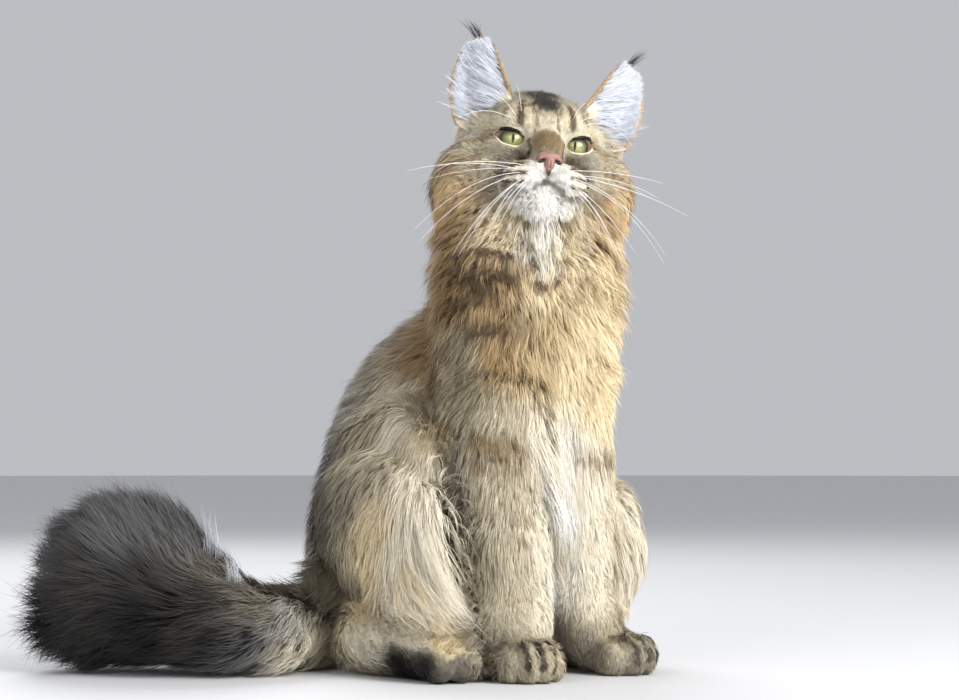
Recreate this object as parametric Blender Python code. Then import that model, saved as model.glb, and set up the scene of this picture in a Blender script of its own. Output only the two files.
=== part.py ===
"""A sitting Maine Coon cat at life size, given out to the tips of its coat.

Metres, +Z up. The cat faces -Y and its right side is -X. Every shape below is placed
from the middle of the forepaws on the floor. ORIGIN then moves the finished cat, so
that the world origin lies on the floor under the middle of its outline.

The coat is built from lofted rings and ellipsoids, which are joined into one closed
body. That body stands on flats at floor level and is then parted along planes into
the head, neck, trunk, legs, feet and lengths of tail.
"""

import math

import bmesh
import bpy
from mathutils import Matrix, Vector

# ---- sizes, in metres ----
ORIGIN = Vector((0.0767, -0.1328, 0.0))  # from the forepaws to the middle of the outline
GAP = 0.0003  # what parted pieces keep between them
FLOOR_DROP = 0.2  # depth of the block that trims everything to the floor

HEAD_CENTRE = Vector((-0.003, 0.033, 0.3434))
HEAD_TURN = -32.0  # degrees about Z: the face looks to the cat's right
HEAD_LIFT = 8.0  # degrees: the chin is raised
HEAD_ROLL = 6.0  # degrees: the left ear is the lower one

EYE_RADIUS = 0.0108
EYE_SPACING = 0.0412  # between the middles of the two eyes
EYE_BACK = 0.0362  # in front of HEAD_CENTRE
EYE_UP = 0.0085  # above HEAD_CENTRE

EAR_SEATS = {-1: (-0.0335, -0.002, 0.0300), 1: (0.0415, -0.002, 0.0290)}
EAR_LEANS = {-1: 12.0, 1: 24.0}  # degrees outward
EAR_LENGTH = 0.068
EAR_WIDTH = 0.046
EAR_THICKNESS = 0.017
LYNX_TIP = 0.018  # the tuft that stands on the ear's point

PAW_LENGTH = 0.070
PAW_WIDTH = 0.050
PAW_HEIGHT = 0.034

BODY_VOXEL = 0.0036
HEAD_VOXEL = 0.0024
BODY_TRIANGLES = 2750
HEAD_TRIANGLES = 1250

# ---- colours of the coat ----
GINGER = (0.55, 0.36, 0.20)
TAWNY = (0.45, 0.34, 0.23)
GREY = (0.30, 0.26, 0.21)
CREAM = (0.72, 0.63, 0.50)
SMOKE = (0.16, 0.14, 0.13)
WHITE = (0.80, 0.77, 0.72)
IRIS = (0.40, 0.42, 0.16)
LEATHER = (0.42, 0.20, 0.16)

# ---- the coat's outline: centre, half of the width, half of the depth ----
# The trunk runs up the spine, from the rump on the floor to the nape.
TRUNK = [
    ((0.000, 0.192, 0.030), 0.062, 0.062),
    ((0.000, 0.178, 0.074), 0.078, 0.077),
    ((0.000, 0.160, 0.126), 0.075, 0.083),
    ((0.000, 0.135, 0.171), 0.070, 0.083),
    ((0.002, 0.104, 0.204), 0.062, 0.068),
    ((0.002, 0.070, 0.230), 0.056, 0.054),
    ((-0.006, 0.040, 0.270), 0.062, 0.056),
    ((-0.010, 0.036, 0.314), 0.066, 0.060),
]
# The chest stands over the forelegs and widens upward into the ruff.
CHEST = [
    ((0.000, 0.036, 0.062), 0.034, 0.026),
    ((-0.002, 0.040, 0.100), 0.052, 0.038),
    ((-0.004, 0.043, 0.140), 0.062, 0.050),
    ((-0.004, 0.044, 0.180), 0.064, 0.057),
    ((-0.005, 0.040, 0.215), 0.072, 0.063),
    ((-0.010, 0.032, 0.252), 0.079, 0.073),
    ((-0.012, 0.028, 0.288), 0.078, 0.071),
    ((-0.012, 0.029, 0.320), 0.070, 0.062),
]
# The hind legs are given for the right side, and side_of turns them to the left.
FORELEG = [
    ((-0.034, 0.034, 0.170), 0.034, 0.043),
    ((-0.037, 0.028, 0.126), 0.0355, 0.040),
    ((-0.035, 0.025, 0.090), 0.0315, 0.035),
    ((-0.032, 0.024, 0.056), 0.0280, 0.031),
    ((-0.034, 0.016, 0.028), 0.0260, 0.028),
]
FORELEG_LEFT = [
    ((0.022, 0.034, 0.170), 0.033, 0.042),
    ((0.025, 0.028, 0.126), 0.0310, 0.037),
    ((0.027, 0.025, 0.090), 0.0265, 0.032),
    ((0.028, 0.024, 0.056), 0.0230, 0.029),
    ((0.033, 0.016, 0.028), 0.0240, 0.027),
]
FOREPAW = ((-0.039, 0.003, 0.0), 17.0)  # middle on the floor, degrees turned out
FOREPAW_LEFT = ((0.044, 0.004, 0.0), 5.0)
THIGH = [
    ((-0.048, 0.160, 0.095), 0.042, 0.060),
    ((-0.065, 0.120, 0.102), 0.042, 0.062),
    ((-0.077, 0.086, 0.103), 0.035, 0.050),
    ((-0.082, 0.066, 0.103), 0.028, 0.041),
]
# Long hair hangs from the knee over the shank down to the foot.
TROUSERS = [
    ((-0.081, 0.070, 0.112), 0.029, 0.044),
    ((-0.084, 0.066, 0.080), 0.028, 0.046),
    ((-0.086, 0.062, 0.045), 0.027, 0.042),
    ((-0.085, 0.048, 0.024), 0.024, 0.036),
]
HINDFOOT = [
    ((-0.087, 0.110, 0.026), 0.028, 0.027),
    ((-0.086, 0.088, 0.025), 0.029, 0.026),
    ((-0.084, 0.060, 0.023), 0.027, 0.023),
    ((-0.083, 0.034, 0.018), 0.025, 0.019),
]
LEFT_THIGH_SHIFT = Vector((0.002, -0.003, 0.0))
LEFT_FOOT_SHIFT = Vector((-0.018, 0.030, 0.0))
# The tail leaves the rump at the back, lies round the right haunch and ends in a brush.
TAIL = [
    ((0.004, 0.226, 0.040), 0.030, 0.036),
    ((-0.054, 0.206, 0.034), 0.042, 0.034),
    ((-0.102, 0.170, 0.028), 0.053, 0.031),
    ((-0.144, 0.160, 0.030), 0.060, 0.036),
    ((-0.178, 0.190, 0.044), 0.063, 0.052),
    ((-0.200, 0.228, 0.061), 0.067, 0.069),
    ((-0.212, 0.252, 0.060), 0.058, 0.062),
]
TAIL_END = ((-0.208, 0.2495, 0.034), (0.060, 0.060, 0.036))  # where the brush lies spread
# Blocks that take off the legs: inner and outer x, front and back y, low and high z.
LEG_BLOCKS = [
    ("forepaw_", GINGER, (0.0000, 0.0650), (-0.080, 0.045), (-0.010, 0.031)),
    ("foreleg_", CREAM, (0.0000, 0.0580), (-0.080, 0.062), (0.031, 0.100)),
    ("shoulder_", TAWNY, (0.0000, 0.0580), (-0.080, 0.062), (0.100, 0.178)),
    ("hindfoot_", GREY, (0.0500, 0.1150), (-0.050, 0.140), (-0.010, 0.040)),
    ("shank_", CREAM, (0.0560, 0.1150), (-0.050, 0.150), (0.040, 0.080)),
    ("thigh_", GREY, (0.0560, 0.2000), (-0.050, 0.220), (0.080, 0.180)),
]
# Where the tail is parted: a point, and how far the plane there is turned, in degrees.
TAIL_CUTS = [
    ("tail_brush", (-0.172, 0.184), -50.0),
    ("tail_middle", (-0.120, 0.164), 10.0),
    ("tail_root", (-0.066, 0.196), 35.0),
]

# ---- meshes ----
def finish_mesh(name, bm, shown=False):
    """Turns a bmesh into an object. A hidden one is a helper."""
    bmesh.ops.recalc_face_normals(bm, faces=bm.faces)
    mesh = bpy.data.meshes.new(name)
    bm.to_mesh(mesh)
    bm.free()
    obj = bpy.data.objects.new(name, mesh)
    bpy.context.scene.collection.objects.link(obj)
    if not shown:
        obj.hide_render = True
        obj.display_type = "WIRE"
    return obj


def settle(obj):
    """Replaces an object's mesh by what its modifiers make of it."""
    bpy.context.view_layer.update()
    graph = bpy.context.evaluated_depsgraph_get()
    mesh = bpy.data.meshes.new_from_object(obj.evaluated_get(graph))
    obj.modifiers.clear()
    obj.data = mesh
    return obj


def smooth_path(stations, steps):
    """Reads a Catmull-Rom curve through the stations: centre, half width, half depth."""
    rows = [(*centre, wide, deep) for centre, wide, deep in stations]
    rows = [rows[0], *rows, rows[-1]]
    out = []
    for k in range(1, len(rows) - 2):
        for step in range(steps):
            t = step / steps
            a, b, c, d = rows[k - 1 : k + 3]
            out.append([
                0.5 * (2 * q + (r - p) * t + (2 * p - 5 * q + 4 * r - s) * t * t
                       + (3 * q - p - 3 * r + s) * t ** 3)
                for p, q, r, s in zip(a, b, c, d)
            ])
    out.append(list(rows[-2]))
    return out


def loft(bm, stations, sides=20, steps=4, caps=4, across=Vector((1, 0, 0))):
    """Adds a tube of elliptical rings along the stations, with round ends."""
    path = smooth_path(stations, steps)
    centres = [Vector(row[:3]) for row in path]
    rings = []

    def ring(centre, tangent, wide, deep):
        side = (across - across.dot(tangent) * tangent).normalized()
        front = tangent.cross(side)
        made = []
        for k in range(sides):
            angle = 2 * math.pi * k / sides
            spot = centre + side * wide * math.cos(angle) + front * deep * math.sin(angle)
            made.append(bm.verts.new(spot))
        rings.append(made)

    start = (centres[1] - centres[0]).normalized()
    end = (centres[-1] - centres[-2]).normalized()
    first, last = path[0], path[-1]
    for k in range(1, caps):
        lean = math.pi / 2 * k / caps
        reach = 0.6 * (first[3] + first[4]) / 2 * math.cos(lean)
        ring(centres[0] - start * reach, start, first[3] * math.sin(lean), first[4] * math.sin(lean))
    for k, row in enumerate(path):
        low = centres[max(k - 1, 0)]
        high = centres[min(k + 1, len(path) - 1)]
        ring(centres[k], (high - low).normalized(), row[3], row[4])
    for k in range(1, caps):
        lean = math.pi / 2 * k / caps
        reach = 0.6 * (last[3] + last[4]) / 2 * math.sin(lean)
        ring(centres[-1] + end * reach, end, last[3] * math.cos(lean), last[4] * math.cos(lean))
    for low, high in zip(rings, rings[1:]):
        for k in range(sides):
            bm.faces.new((low[k], low[(k + 1) % sides], high[(k + 1) % sides], high[k]))
    bm.faces.new(rings[0])
    bm.faces.new(rings[-1])


def ball(bm, centre, radii, turn=None, segments=20):
    """Adds an ellipsoid, turned by a matrix where one is given."""
    matrix = Matrix.Translation(centre) @ (turn or Matrix()) @ Matrix.Diagonal((*radii, 1))
    bmesh.ops.create_uvsphere(
        bm, u_segments=segments, v_segments=segments // 2 + 2, radius=1, matrix=matrix
    )


def box(name, low, high, matrix=None):
    """Makes a block between two corners, as a helper for cuts."""
    bm = bmesh.new()
    middle = (Vector(low) + Vector(high)) / 2
    size = Vector(high) - Vector(low)
    place = (matrix or Matrix()) @ Matrix.Translation(middle) @ Matrix.Diagonal((*size, 1))
    bmesh.ops.create_cube(bm, size=1, matrix=place)
    return finish_mesh(name, bm)


def fuse(name, bm, voxel, triangles):
    """Joins overlapping shapes into one smooth closed body."""
    obj = finish_mesh(name, bm)
    remesh = obj.modifiers.new("Remesh", "REMESH")
    remesh.mode = "VOXEL"
    remesh.voxel_size = voxel
    smooth = obj.modifiers.new("Smooth", "SMOOTH")
    smooth.factor = 0.5
    smooth.iterations = 4
    settle(obj)
    thin = obj.modifiers.new("Decimate", "DECIMATE")
    thin.ratio = triangles / (2 * len(obj.data.polygons))
    thin.use_collapse_triangulate = True
    return settle(obj)


def boolean(obj, other, operation):
    cut = obj.modifiers.new(operation, "BOOLEAN")
    cut.operation = operation
    cut.object = other
    return settle(obj)


def copy(obj, name):
    twin = obj.copy()
    twin.data = obj.data.copy()
    twin.name = name
    bpy.context.scene.collection.objects.link(twin)
    return twin


def grown(obj, name, by):
    """A copy whose surface stands out by a little, to cut a neighbour with a gap."""
    twin = copy(obj, name)
    normals = [vertex.normal.copy() for vertex in twin.data.vertices]
    for vertex, normal in zip(twin.data.vertices, normals):
        vertex.co += normal * by
    return twin


def largest_piece(obj):
    """Keeps the biggest loose part of a mesh, and drops crumbs that a cut left."""
    bm = bmesh.new()
    bm.from_mesh(obj.data)
    left = set(bm.faces)
    parts = []
    while left:
        seed = left.pop()
        part, edge = {seed}, [seed]
        while edge:
            face = edge.pop()
            for side in face.edges:
                for other in side.link_faces:
                    if other in left:
                        left.remove(other)
                        part.add(other)
                        edge.append(other)
        parts.append(part)
    parts.sort(key=lambda part: -sum(face.calc_area() for face in part))
    crumbs = [face for part in parts[1:] for face in part]
    bmesh.ops.delete(bm, geom=crumbs, context="FACES")
    bm.to_mesh(obj.data)
    bm.free()


def material(name, colour, roughness):
    made = bpy.data.materials.new(name)
    made.use_nodes = True
    shader = made.node_tree.nodes["Principled BSDF"]
    shader.inputs["Base Color"].default_value = (*colour, 1)
    shader.inputs["Roughness"].default_value = roughness
    shader.inputs["Metallic"].default_value = 0.0
    return made


def show(obj, name, colour, roughness=0.9):
    """Makes an object a visible part of the cat, at its place in the world."""
    largest_piece(obj)
    obj.name = name
    obj.data.name = name
    obj.hide_render = False
    obj.display_type = "TEXTURED"
    obj.data.materials.clear()
    obj.data.materials.append(material(name, colour, roughness))
    obj.data.transform(Matrix.Translation(ORIGIN))
    obj.data.shade_smooth()
    obj.data.set_sharp_from_angle(angle=math.radians(60))
    return obj


def part_off(rest, name, colour, low, high, matrix=None):
    """Takes the piece of a body that lies in a block, and leaves a thin gap."""
    block = box(name + "_block", low, high, matrix)
    piece = boolean(copy(rest, name), block, "INTERSECT")
    wide = Vector((GAP, GAP, GAP))
    larger = box(name + "_larger", Vector(low) - wide, Vector(high) + wide, matrix)
    boolean(rest, larger, "DIFFERENCE")
    return show(piece, name, colour)


# ---- the head's own frame: face toward -Y, crown up ----
def head_frame():
    turn = Matrix.Rotation(math.radians(HEAD_TURN), 4, "Z")
    lift = Matrix.Rotation(math.radians(-HEAD_LIFT), 4, "X")
    roll = Matrix.Rotation(math.radians(HEAD_ROLL), 4, "Y")
    return Matrix.Translation(HEAD_CENTRE) @ turn @ lift @ roll


def side_of(stations, side, shift=Vector((0, 0, 0))):
    """Gives right-hand stations for the right (-1) or the left (+1)."""
    if side < 0:
        return stations
    return [(Vector((-c[0], c[1], c[2])) + shift, wide, deep) for c, wide, deep in stations]


# ---- the coat, shape by shape ----
def add_paw(bm, centre, turned, side):
    """A round paw with four toes, on the floor, turned out by some degrees."""
    frame = Matrix.Translation(centre) @ Matrix.Rotation(math.radians(side * turned), 4, "Z")
    half = Vector((PAW_WIDTH / 2, PAW_LENGTH / 2, PAW_HEIGHT / 2))
    back = frame @ Vector((0, half.y * 0.22, half.z * 0.98))
    ball(bm, back, (half.x * 0.94, half.y * 0.78, half.z), frame.to_3x3().to_4x4())
    toes = ((-0.70, -0.30, 0.84), (-0.25, -0.58, 0.92), (0.25, -0.58, 0.92), (0.70, -0.30, 0.84))
    for across, along, tall in toes:
        spot = frame @ Vector((half.x * across, half.y * along, half.z * tall * 0.86))
        size = (half.x * 0.33, half.y * 0.42, half.z * tall)
        ball(bm, spot, size, frame.to_3x3().to_4x4(), 14)


def add_foot_toes(bm, stations, side):
    """Three rounded toes at the front end of a hind foot."""
    tip = Vector(stations[-1][0])
    along = (tip - Vector(stations[-2][0]))
    along.z = 0
    along.normalize()
    across = Vector((-along.y, along.x, 0))
    for step in (-1, 0, 1):
        spot = tip + along * (0.017 - 0.004 * abs(step)) + across * (0.0135 * step)
        spot.z = 0.0125
        ball(bm, spot, (0.0095, 0.0140, 0.0140), along.to_track_quat("-Y", "Z").to_matrix().to_4x4(), 14)


def add_head(bm, frame):
    turn = frame.to_3x3().to_4x4()

    def lump(spot, radii, tilt=0.0):
        ball(bm, frame @ Vector(spot), radii, turn @ Matrix.Rotation(math.radians(tilt), 4, "X"), 28)

    lump((0.002, 0.006, 0.007), (0.053, 0.052, 0.0515))  # cranium
    lump((0, -0.020, 0.012), (0.042, 0.034, 0.033))  # brow
    lump((0.004, 0.020, -0.012), (0.076, 0.050, 0.054))  # ruff behind the cheeks
    for side in (-1, 1):
        lump((side * 0.040 + 0.002, -0.004, -0.015), (0.030, 0.036, 0.034))  # cheek
        lump((side * 0.026, -0.036, -0.006), (0.018, 0.014, 0.016))  # under the eye
        lump((side * 0.0125, -0.058, -0.0235), (0.0165, 0.0195, 0.0130))  # whisker pad
    lump((0, -0.046, 0.004), (0.0125, 0.026, 0.0150), 24)  # bridge of the nose
    lump((0, -0.070, -0.0150), (0.0095, 0.0085, 0.0085))  # end of the nose
    lump((0, -0.048, -0.0345), (0.0200, 0.0220, 0.0135))  # lower jaw
    lump((0, -0.058, -0.0400), (0.0125, 0.0120, 0.0095))  # chin
    lump((0, -0.012, -0.0440), (0.045, 0.040, 0.026))  # throat


def ear_frame(side):
    """Stands an ear on the head: +Z runs to its point and -Y is its open side."""
    seat = Matrix.Translation(EAR_SEATS[side])
    lean = Matrix.Rotation(math.radians(side * EAR_LEANS[side]), 4, "Y")
    turn = Matrix.Rotation(math.radians(side * 16), 4, "Z")
    tip_back = Matrix.Rotation(math.radians(-4), 4, "X")
    return head_frame() @ seat @ turn @ lean @ tip_back


def make_ear(side, name, head):
    """A tall ear, hollowed in front, with a tuft on its point."""
    bm = bmesh.new()
    stations = []
    for k in range(7):
        t = k / 6
        width = EAR_WIDTH / 2 * (1 - t ** 1.9) ** 0.72 + 0.0024
        thick = EAR_THICKNESS / 2 * (1 - 0.62 * t)
        lean = 0.004 * math.sin(math.pi * t)
        stations.append(((side * lean, 0.003 * t, EAR_LENGTH * t), width, thick))
    tip = stations[-1][0]
    stations.append(((tip[0] + side * 0.003, tip[1], tip[2] + LYNX_TIP * 0.5), 0.0016, 0.0016))
    stations.append(((tip[0] + side * 0.007, tip[1], tip[2] + LYNX_TIP), 0.0008, 0.0008))
    loft(bm, stations, sides=12, steps=1, caps=2)
    ear = finish_mesh(name, bm)
    scoop = bmesh.new()
    ball(scoop, Vector((side * 0.001, -0.0125, 0.026)), (0.0170, 0.0150, 0.038), None, 12)
    hollow = finish_mesh(name + "_scoop", scoop)
    boolean(ear, hollow, "DIFFERENCE")
    ear.data.transform(ear_frame(side))
    boolean(ear, head, "DIFFERENCE")
    return show(ear, name, TAWNY)


def eye_centre(side):
    return head_frame() @ Vector((side * EYE_SPACING / 2, -EYE_BACK, EYE_UP))


def cut_socket(head, side):
    """Opens the lids in front of the eye: an almond that falls toward the nose."""
    bm = bmesh.new()
    spot = head_frame() @ Vector((side * EYE_SPACING / 2, -EYE_BACK - 0.008, EYE_UP))
    turn = head_frame().to_3x3().to_4x4()
    turn = turn @ Matrix.Rotation(math.radians(side * 22), 4, "Z")
    turn = turn @ Matrix.Rotation(math.radians(-side * 12), 4, "Y")
    ball(bm, spot, (0.0118, 0.0125, 0.0082), turn, 22)
    boolean(head, finish_mesh("socket", bm), "DIFFERENCE")


def make_eye(side, name, head):
    bm = bmesh.new()
    ball(bm, eye_centre(side), (EYE_RADIUS,) * 3, head_frame().to_3x3().to_4x4(), 12)
    eye = finish_mesh(name, bm)
    boolean(eye, head, "DIFFERENCE")
    return show(eye, name, IRIS, 0.05)


def make_nose(head):
    """The bare tip of the nose, a rounded wedge that narrows downward."""
    bm = bmesh.new()
    frame = head_frame()
    turn = frame.to_3x3().to_4x4()
    ball(bm, frame @ Vector((0, -0.0735, -0.0125)), (0.0085, 0.0062, 0.0060), turn, 16)
    ball(bm, frame @ Vector((0, -0.0725, -0.0180)), (0.0045, 0.0058, 0.0055), turn, 14)
    nose = finish_mesh("nose_join", bm)
    remesh = nose.modifiers.new("Remesh", "REMESH")
    remesh.mode = "VOXEL"
    remesh.voxel_size = 0.0009
    settle(nose)
    thin = nose.modifiers.new("Decimate", "DECIMATE")
    thin.ratio = 150 / (2 * len(nose.data.polygons))
    settle(nose)
    boolean(nose, head, "DIFFERENCE")
    return show(nose, "nose", LEATHER, 0.4)


def take_tail(body, cuts):
    for name, (x, y), turned in cuts:
        cut = Matrix.Translation((x, y, 0)) @ Matrix.Rotation(math.radians(turned), 4, "Z")
        colour = SMOKE if name == "tail_brush" else GREY
        part_off(body, name, colour, (-0.3, -0.075, -0.01), (0, 0.2, 0.16), cut)


def build():
    for obj in list(bpy.data.objects):
        bpy.data.objects.remove(obj, do_unlink=True)

    frame = head_frame()
    floor = box("floor_block", (-1, -1, -FLOOR_DROP), (1, 1, 0))

    # The head is fused finely, together with the neck that it runs into.
    bm = bmesh.new()
    add_head(bm, frame)
    loft(bm, CHEST[4:])
    loft(bm, TRUNK[4:])
    head_coat = fuse("head_coat", bm, HEAD_VOXEL, HEAD_TRIANGLES)

    bm = bmesh.new()
    loft(bm, TRUNK)
    loft(bm, CHEST)
    add_head(bm, frame)
    for side in (-1, 1):
        thigh_shift = LEFT_THIGH_SHIFT if side > 0 else Vector((0, 0, 0))
        foot_shift = LEFT_FOOT_SHIFT if side > 0 else Vector((0, 0, 0))
        loft(bm, FORELEG_LEFT if side > 0 else FORELEG)
        spot, turned = FOREPAW_LEFT if side > 0 else FOREPAW
        add_paw(bm, spot, turned, side)
        loft(bm, side_of(THIGH, side, thigh_shift))
        hair = side_of(TROUSERS[:2], side, thigh_shift)
        hair = hair + side_of(TROUSERS[2:], side, thigh_shift + foot_shift / 2)
        loft(bm, hair)
        foot = side_of(HINDFOOT, side, foot_shift)
        loft(bm, foot)
        add_foot_toes(bm, foot, side)
    loft(bm, TAIL, across=Vector((0, 1, 0.2)))
    ball(bm, Vector(TAIL_END[0]), TAIL_END[1])
    body = fuse("body_coat", bm, BODY_VOXEL, BODY_TRIANGLES)
    boolean(body, floor, "DIFFERENCE")

    # The neck's top plane tips forward, from the nape to the throat.
    neck_plane = Matrix.Translation((-0.010, 0.030, 0.302)) @ Matrix.Rotation(math.radians(-32), 4, "Z")
    neck_plane = neck_plane @ Matrix.Rotation(math.radians(14), 4, "X")
    over = box("over_neck", (-0.3, -0.3, -GAP / 2), (0.3, 0.3, 0.3), neck_plane)
    under = box("under_neck", (-0.3, -0.3, -0.4), (0.3, 0.3, GAP / 2), neck_plane)
    head = boolean(head_coat, under, "DIFFERENCE")
    boolean(body, over, "DIFFERENCE")

    for side in (-1, 1):
        cut_socket(head, side)
    around = grown(head, "head_grown", GAP)
    for side, word in ((-1, "right"), (1, "left")):
        make_ear(side, "ear_" + word, around)
        make_eye(side, "eye_" + word, around)
    make_nose(around)
    show(head, "head", TAWNY)

    # The tail's end comes off first, and its root when the legs are gone.
    take_tail(body, TAIL_CUTS[:2])
    for side, word in ((-1, "right"), (1, "left")):
        for name, colour, (near, far), (front, back), (low, high) in LEG_BLOCKS:
            xs = sorted((side * (near + GAP / 2), side * far))
            corner = (xs[0], front, low + GAP / 2)
            part_off(body, name + word, colour, corner, (xs[1], back, high - GAP / 2))
    take_tail(body, TAIL_CUTS[2:])
    part_off(body, "neck", GINGER, (-0.2, -0.2, 0.218), (0.2, 0.2, 0.4))
    lean = Matrix.Translation((0, 0.100, 0.178)) @ Matrix.Rotation(math.radians(35), 4, "X")
    part_off(body, "chest", GINGER, (-0.2, -0.2, 0), (0.2, 0.2, 0.2), lean)
    lean = Matrix.Translation((0, 0.160, 0.112)) @ Matrix.Rotation(math.radians(30), 4, "X")
    part_off(body, "loin", TAWNY, (-0.2, -0.3, 0), (0.2, 0.2, 0.3), lean)
    show(body, "rump", GREY)

    for obj in list(bpy.data.objects):
        if obj.hide_render:
            bpy.data.objects.remove(obj, do_unlink=True)


build()
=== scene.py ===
# A sitting Maine Coon cat: skin, coat, eyes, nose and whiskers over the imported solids.
import math

import bmesh
import bpy
import numpy as np
from mathutils import Matrix, Vector
from mathutils.bvhtree import BVHTree
from mathutils.kdtree import KDTree


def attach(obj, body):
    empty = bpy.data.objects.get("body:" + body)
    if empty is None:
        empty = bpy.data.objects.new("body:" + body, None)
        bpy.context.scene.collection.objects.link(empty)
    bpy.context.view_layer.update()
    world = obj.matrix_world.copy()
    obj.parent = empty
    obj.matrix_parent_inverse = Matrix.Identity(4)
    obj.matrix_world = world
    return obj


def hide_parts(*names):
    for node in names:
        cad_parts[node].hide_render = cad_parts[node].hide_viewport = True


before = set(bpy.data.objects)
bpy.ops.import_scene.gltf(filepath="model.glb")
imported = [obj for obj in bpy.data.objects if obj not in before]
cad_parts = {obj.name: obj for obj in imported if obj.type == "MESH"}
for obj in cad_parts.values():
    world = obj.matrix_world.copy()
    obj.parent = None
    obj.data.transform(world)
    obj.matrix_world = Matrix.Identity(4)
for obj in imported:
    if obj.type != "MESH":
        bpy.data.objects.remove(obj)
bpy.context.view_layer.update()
rng = np.random.default_rng(11)

# The cat faces -Y and its right side is -X. Places are measured from the middle of its
# forepaws, or from the middle of its head with the face toward -Y and the crown up. Sizes are
# metres, apart from the tables of tints, marks, hair lie, locks and whiskers in millimetres.
place = {
    "forepaws": (0.0767, -0.1328, 0.0),
    "head": (-0.003, 0.033, 0.3434),
    "headTurn": -32.0,
    "headLift": 8.0,
    "headRoll": 6.0,
}
catFrame = Matrix.Translation(place["forepaws"])
headFrame = (
    catFrame @ Matrix.Translation(place["head"])
    @ Matrix.Rotation(math.radians(place["headTurn"]), 4, "Z")
    @ Matrix.Rotation(math.radians(-place["headLift"]), 4, "X")
    @ Matrix.Rotation(math.radians(place["headRoll"]), 4, "Y")
)


def toWorld(points, matrix):
    m = np.array(matrix)
    return np.asarray(points, float) @ m[:3, :3].T + m[:3, 3]


def toLocal(points, matrix):
    return toWorld(points, matrix.inverted())


def turned(vectors, matrix):
    return np.asarray(vectors, float) @ np.array(matrix)[:3, :3].T


def unit(vectors):
    return vectors / np.maximum(np.linalg.norm(vectors, axis=-1, keepdims=True), 1e-9)


def smoothStep(low, high, value):
    t = np.clip((value - low) / (high - low), 0, 1)
    return t * t * (3 - 2 * t)


def linear(red, green, blue):  # a colour as seen on a screen, 0 to 255, as linear light
    return ((np.array((red, green, blue)) / 255) ** 2.2).tolist()


def wave(points, size, seed):  # smooth noise about -1 to 1, with bumps of that size
    made = np.random.default_rng(seed)
    total = np.zeros(len(points))
    for part in range(7):
        way = unit(made.normal(size=3)) * 2 * math.pi / (size * made.uniform(1.2, 3.4))
        total += np.sin(points @ way + made.uniform(0, 6.3))
    return total / 2.6


def smoothPath(rows, steps, closed=False):  # a Catmull-Rom curve through all columns
    rows = np.array(rows, float)
    if closed:
        rows = np.concatenate([rows[-1:], rows, rows[:2]])
    else:
        rows = np.concatenate([rows[:1], rows, rows[-1:]])
    out = []
    for a, b, c, d in zip(rows, rows[1:], rows[2:], rows[3:]):
        for t in np.arange(steps) / steps:
            out.append(0.5 * (2 * b + (c - a) * t + (2 * a - 5 * b + 4 * c - d) * t * t
                              + (3 * b - a - 3 * c + d) * t ** 3))
    if not closed:
        out.append(rows[-2])
    return np.array(out)


# Materials
def newMaterial(name):
    made = bpy.data.materials.new(name)
    made.use_nodes = True
    return made, made.node_tree.nodes, made.node_tree.links, made.node_tree.nodes["Principled BSDF"]


def setInputs(node, values):
    for name, value in values.items():
        node.inputs[name].default_value = value


def addTint(nodes):  # the colours painted on a piece's points
    tint = nodes.new("ShaderNodeAttribute")
    tint.attribute_name = "tint"
    return tint.outputs["Color"]


def furMaterial(name, grainSize, grain, roughness, bump=0.0):
    # the piece's own tints, broken up by a fine grain
    made, nodes, links, shader = newMaterial(name)
    where = nodes.new("ShaderNodeTexCoord")
    noise = nodes.new("ShaderNodeTexNoise")
    setInputs(noise, {"Scale": grainSize, "Detail": 3})
    links.new(where.outputs["Object"], noise.inputs["Vector"])
    shade = nodes.new("ShaderNodeMapRange")
    setInputs(shade, {"From Min": 0.3, "From Max": 0.7, "To Min": 1 - grain, "To Max": 1 + grain})
    links.new(noise.outputs["Fac"], shade.inputs["Value"])
    scale = nodes.new("ShaderNodeVectorMath")
    scale.operation = "SCALE"
    links.new(addTint(nodes), scale.inputs[0])
    links.new(shade.outputs["Result"], scale.inputs["Scale"])
    links.new(scale.outputs["Vector"], shader.inputs["Base Color"])
    rough = nodes.new("ShaderNodeMapRange")
    setInputs(rough, {"To Min": roughness - 0.1, "To Max": roughness + 0.1})
    links.new(noise.outputs["Fac"], rough.inputs["Value"])
    links.new(rough.outputs["Result"], shader.inputs["Roughness"])
    setInputs(shader, {"Specular IOR Level": 0.25})
    if bump:
        lift = nodes.new("ShaderNodeBump")
        setInputs(lift, {"Strength": bump, "Distance": 0.0006})
        links.new(noise.outputs["Fac"], lift.inputs["Height"])
        links.new(lift.outputs["Normal"], shader.inputs["Normal"])
    return made


coatMaterial = furMaterial("coatHair", 260, 0.10, 0.62)
skinMaterial = furMaterial("coatSkin", 900, 0.22, 0.75, 0.6)
lidMaterial = furMaterial("lidRim", 1400, 0.12, 0.38, 0.3)
whiskerMaterial = furMaterial("whisker", 300, 0.05, 0.35)


def eyeMaterial():
    made, nodes, links, shader = newMaterial("eyeGloss")
    links.new(addTint(nodes), shader.inputs["Base Color"])
    setInputs(shader, {"Roughness": 0.22, "Coat Weight": 1.0, "Coat Roughness": 0.02, "Coat IOR": 1.38})
    return made


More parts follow.
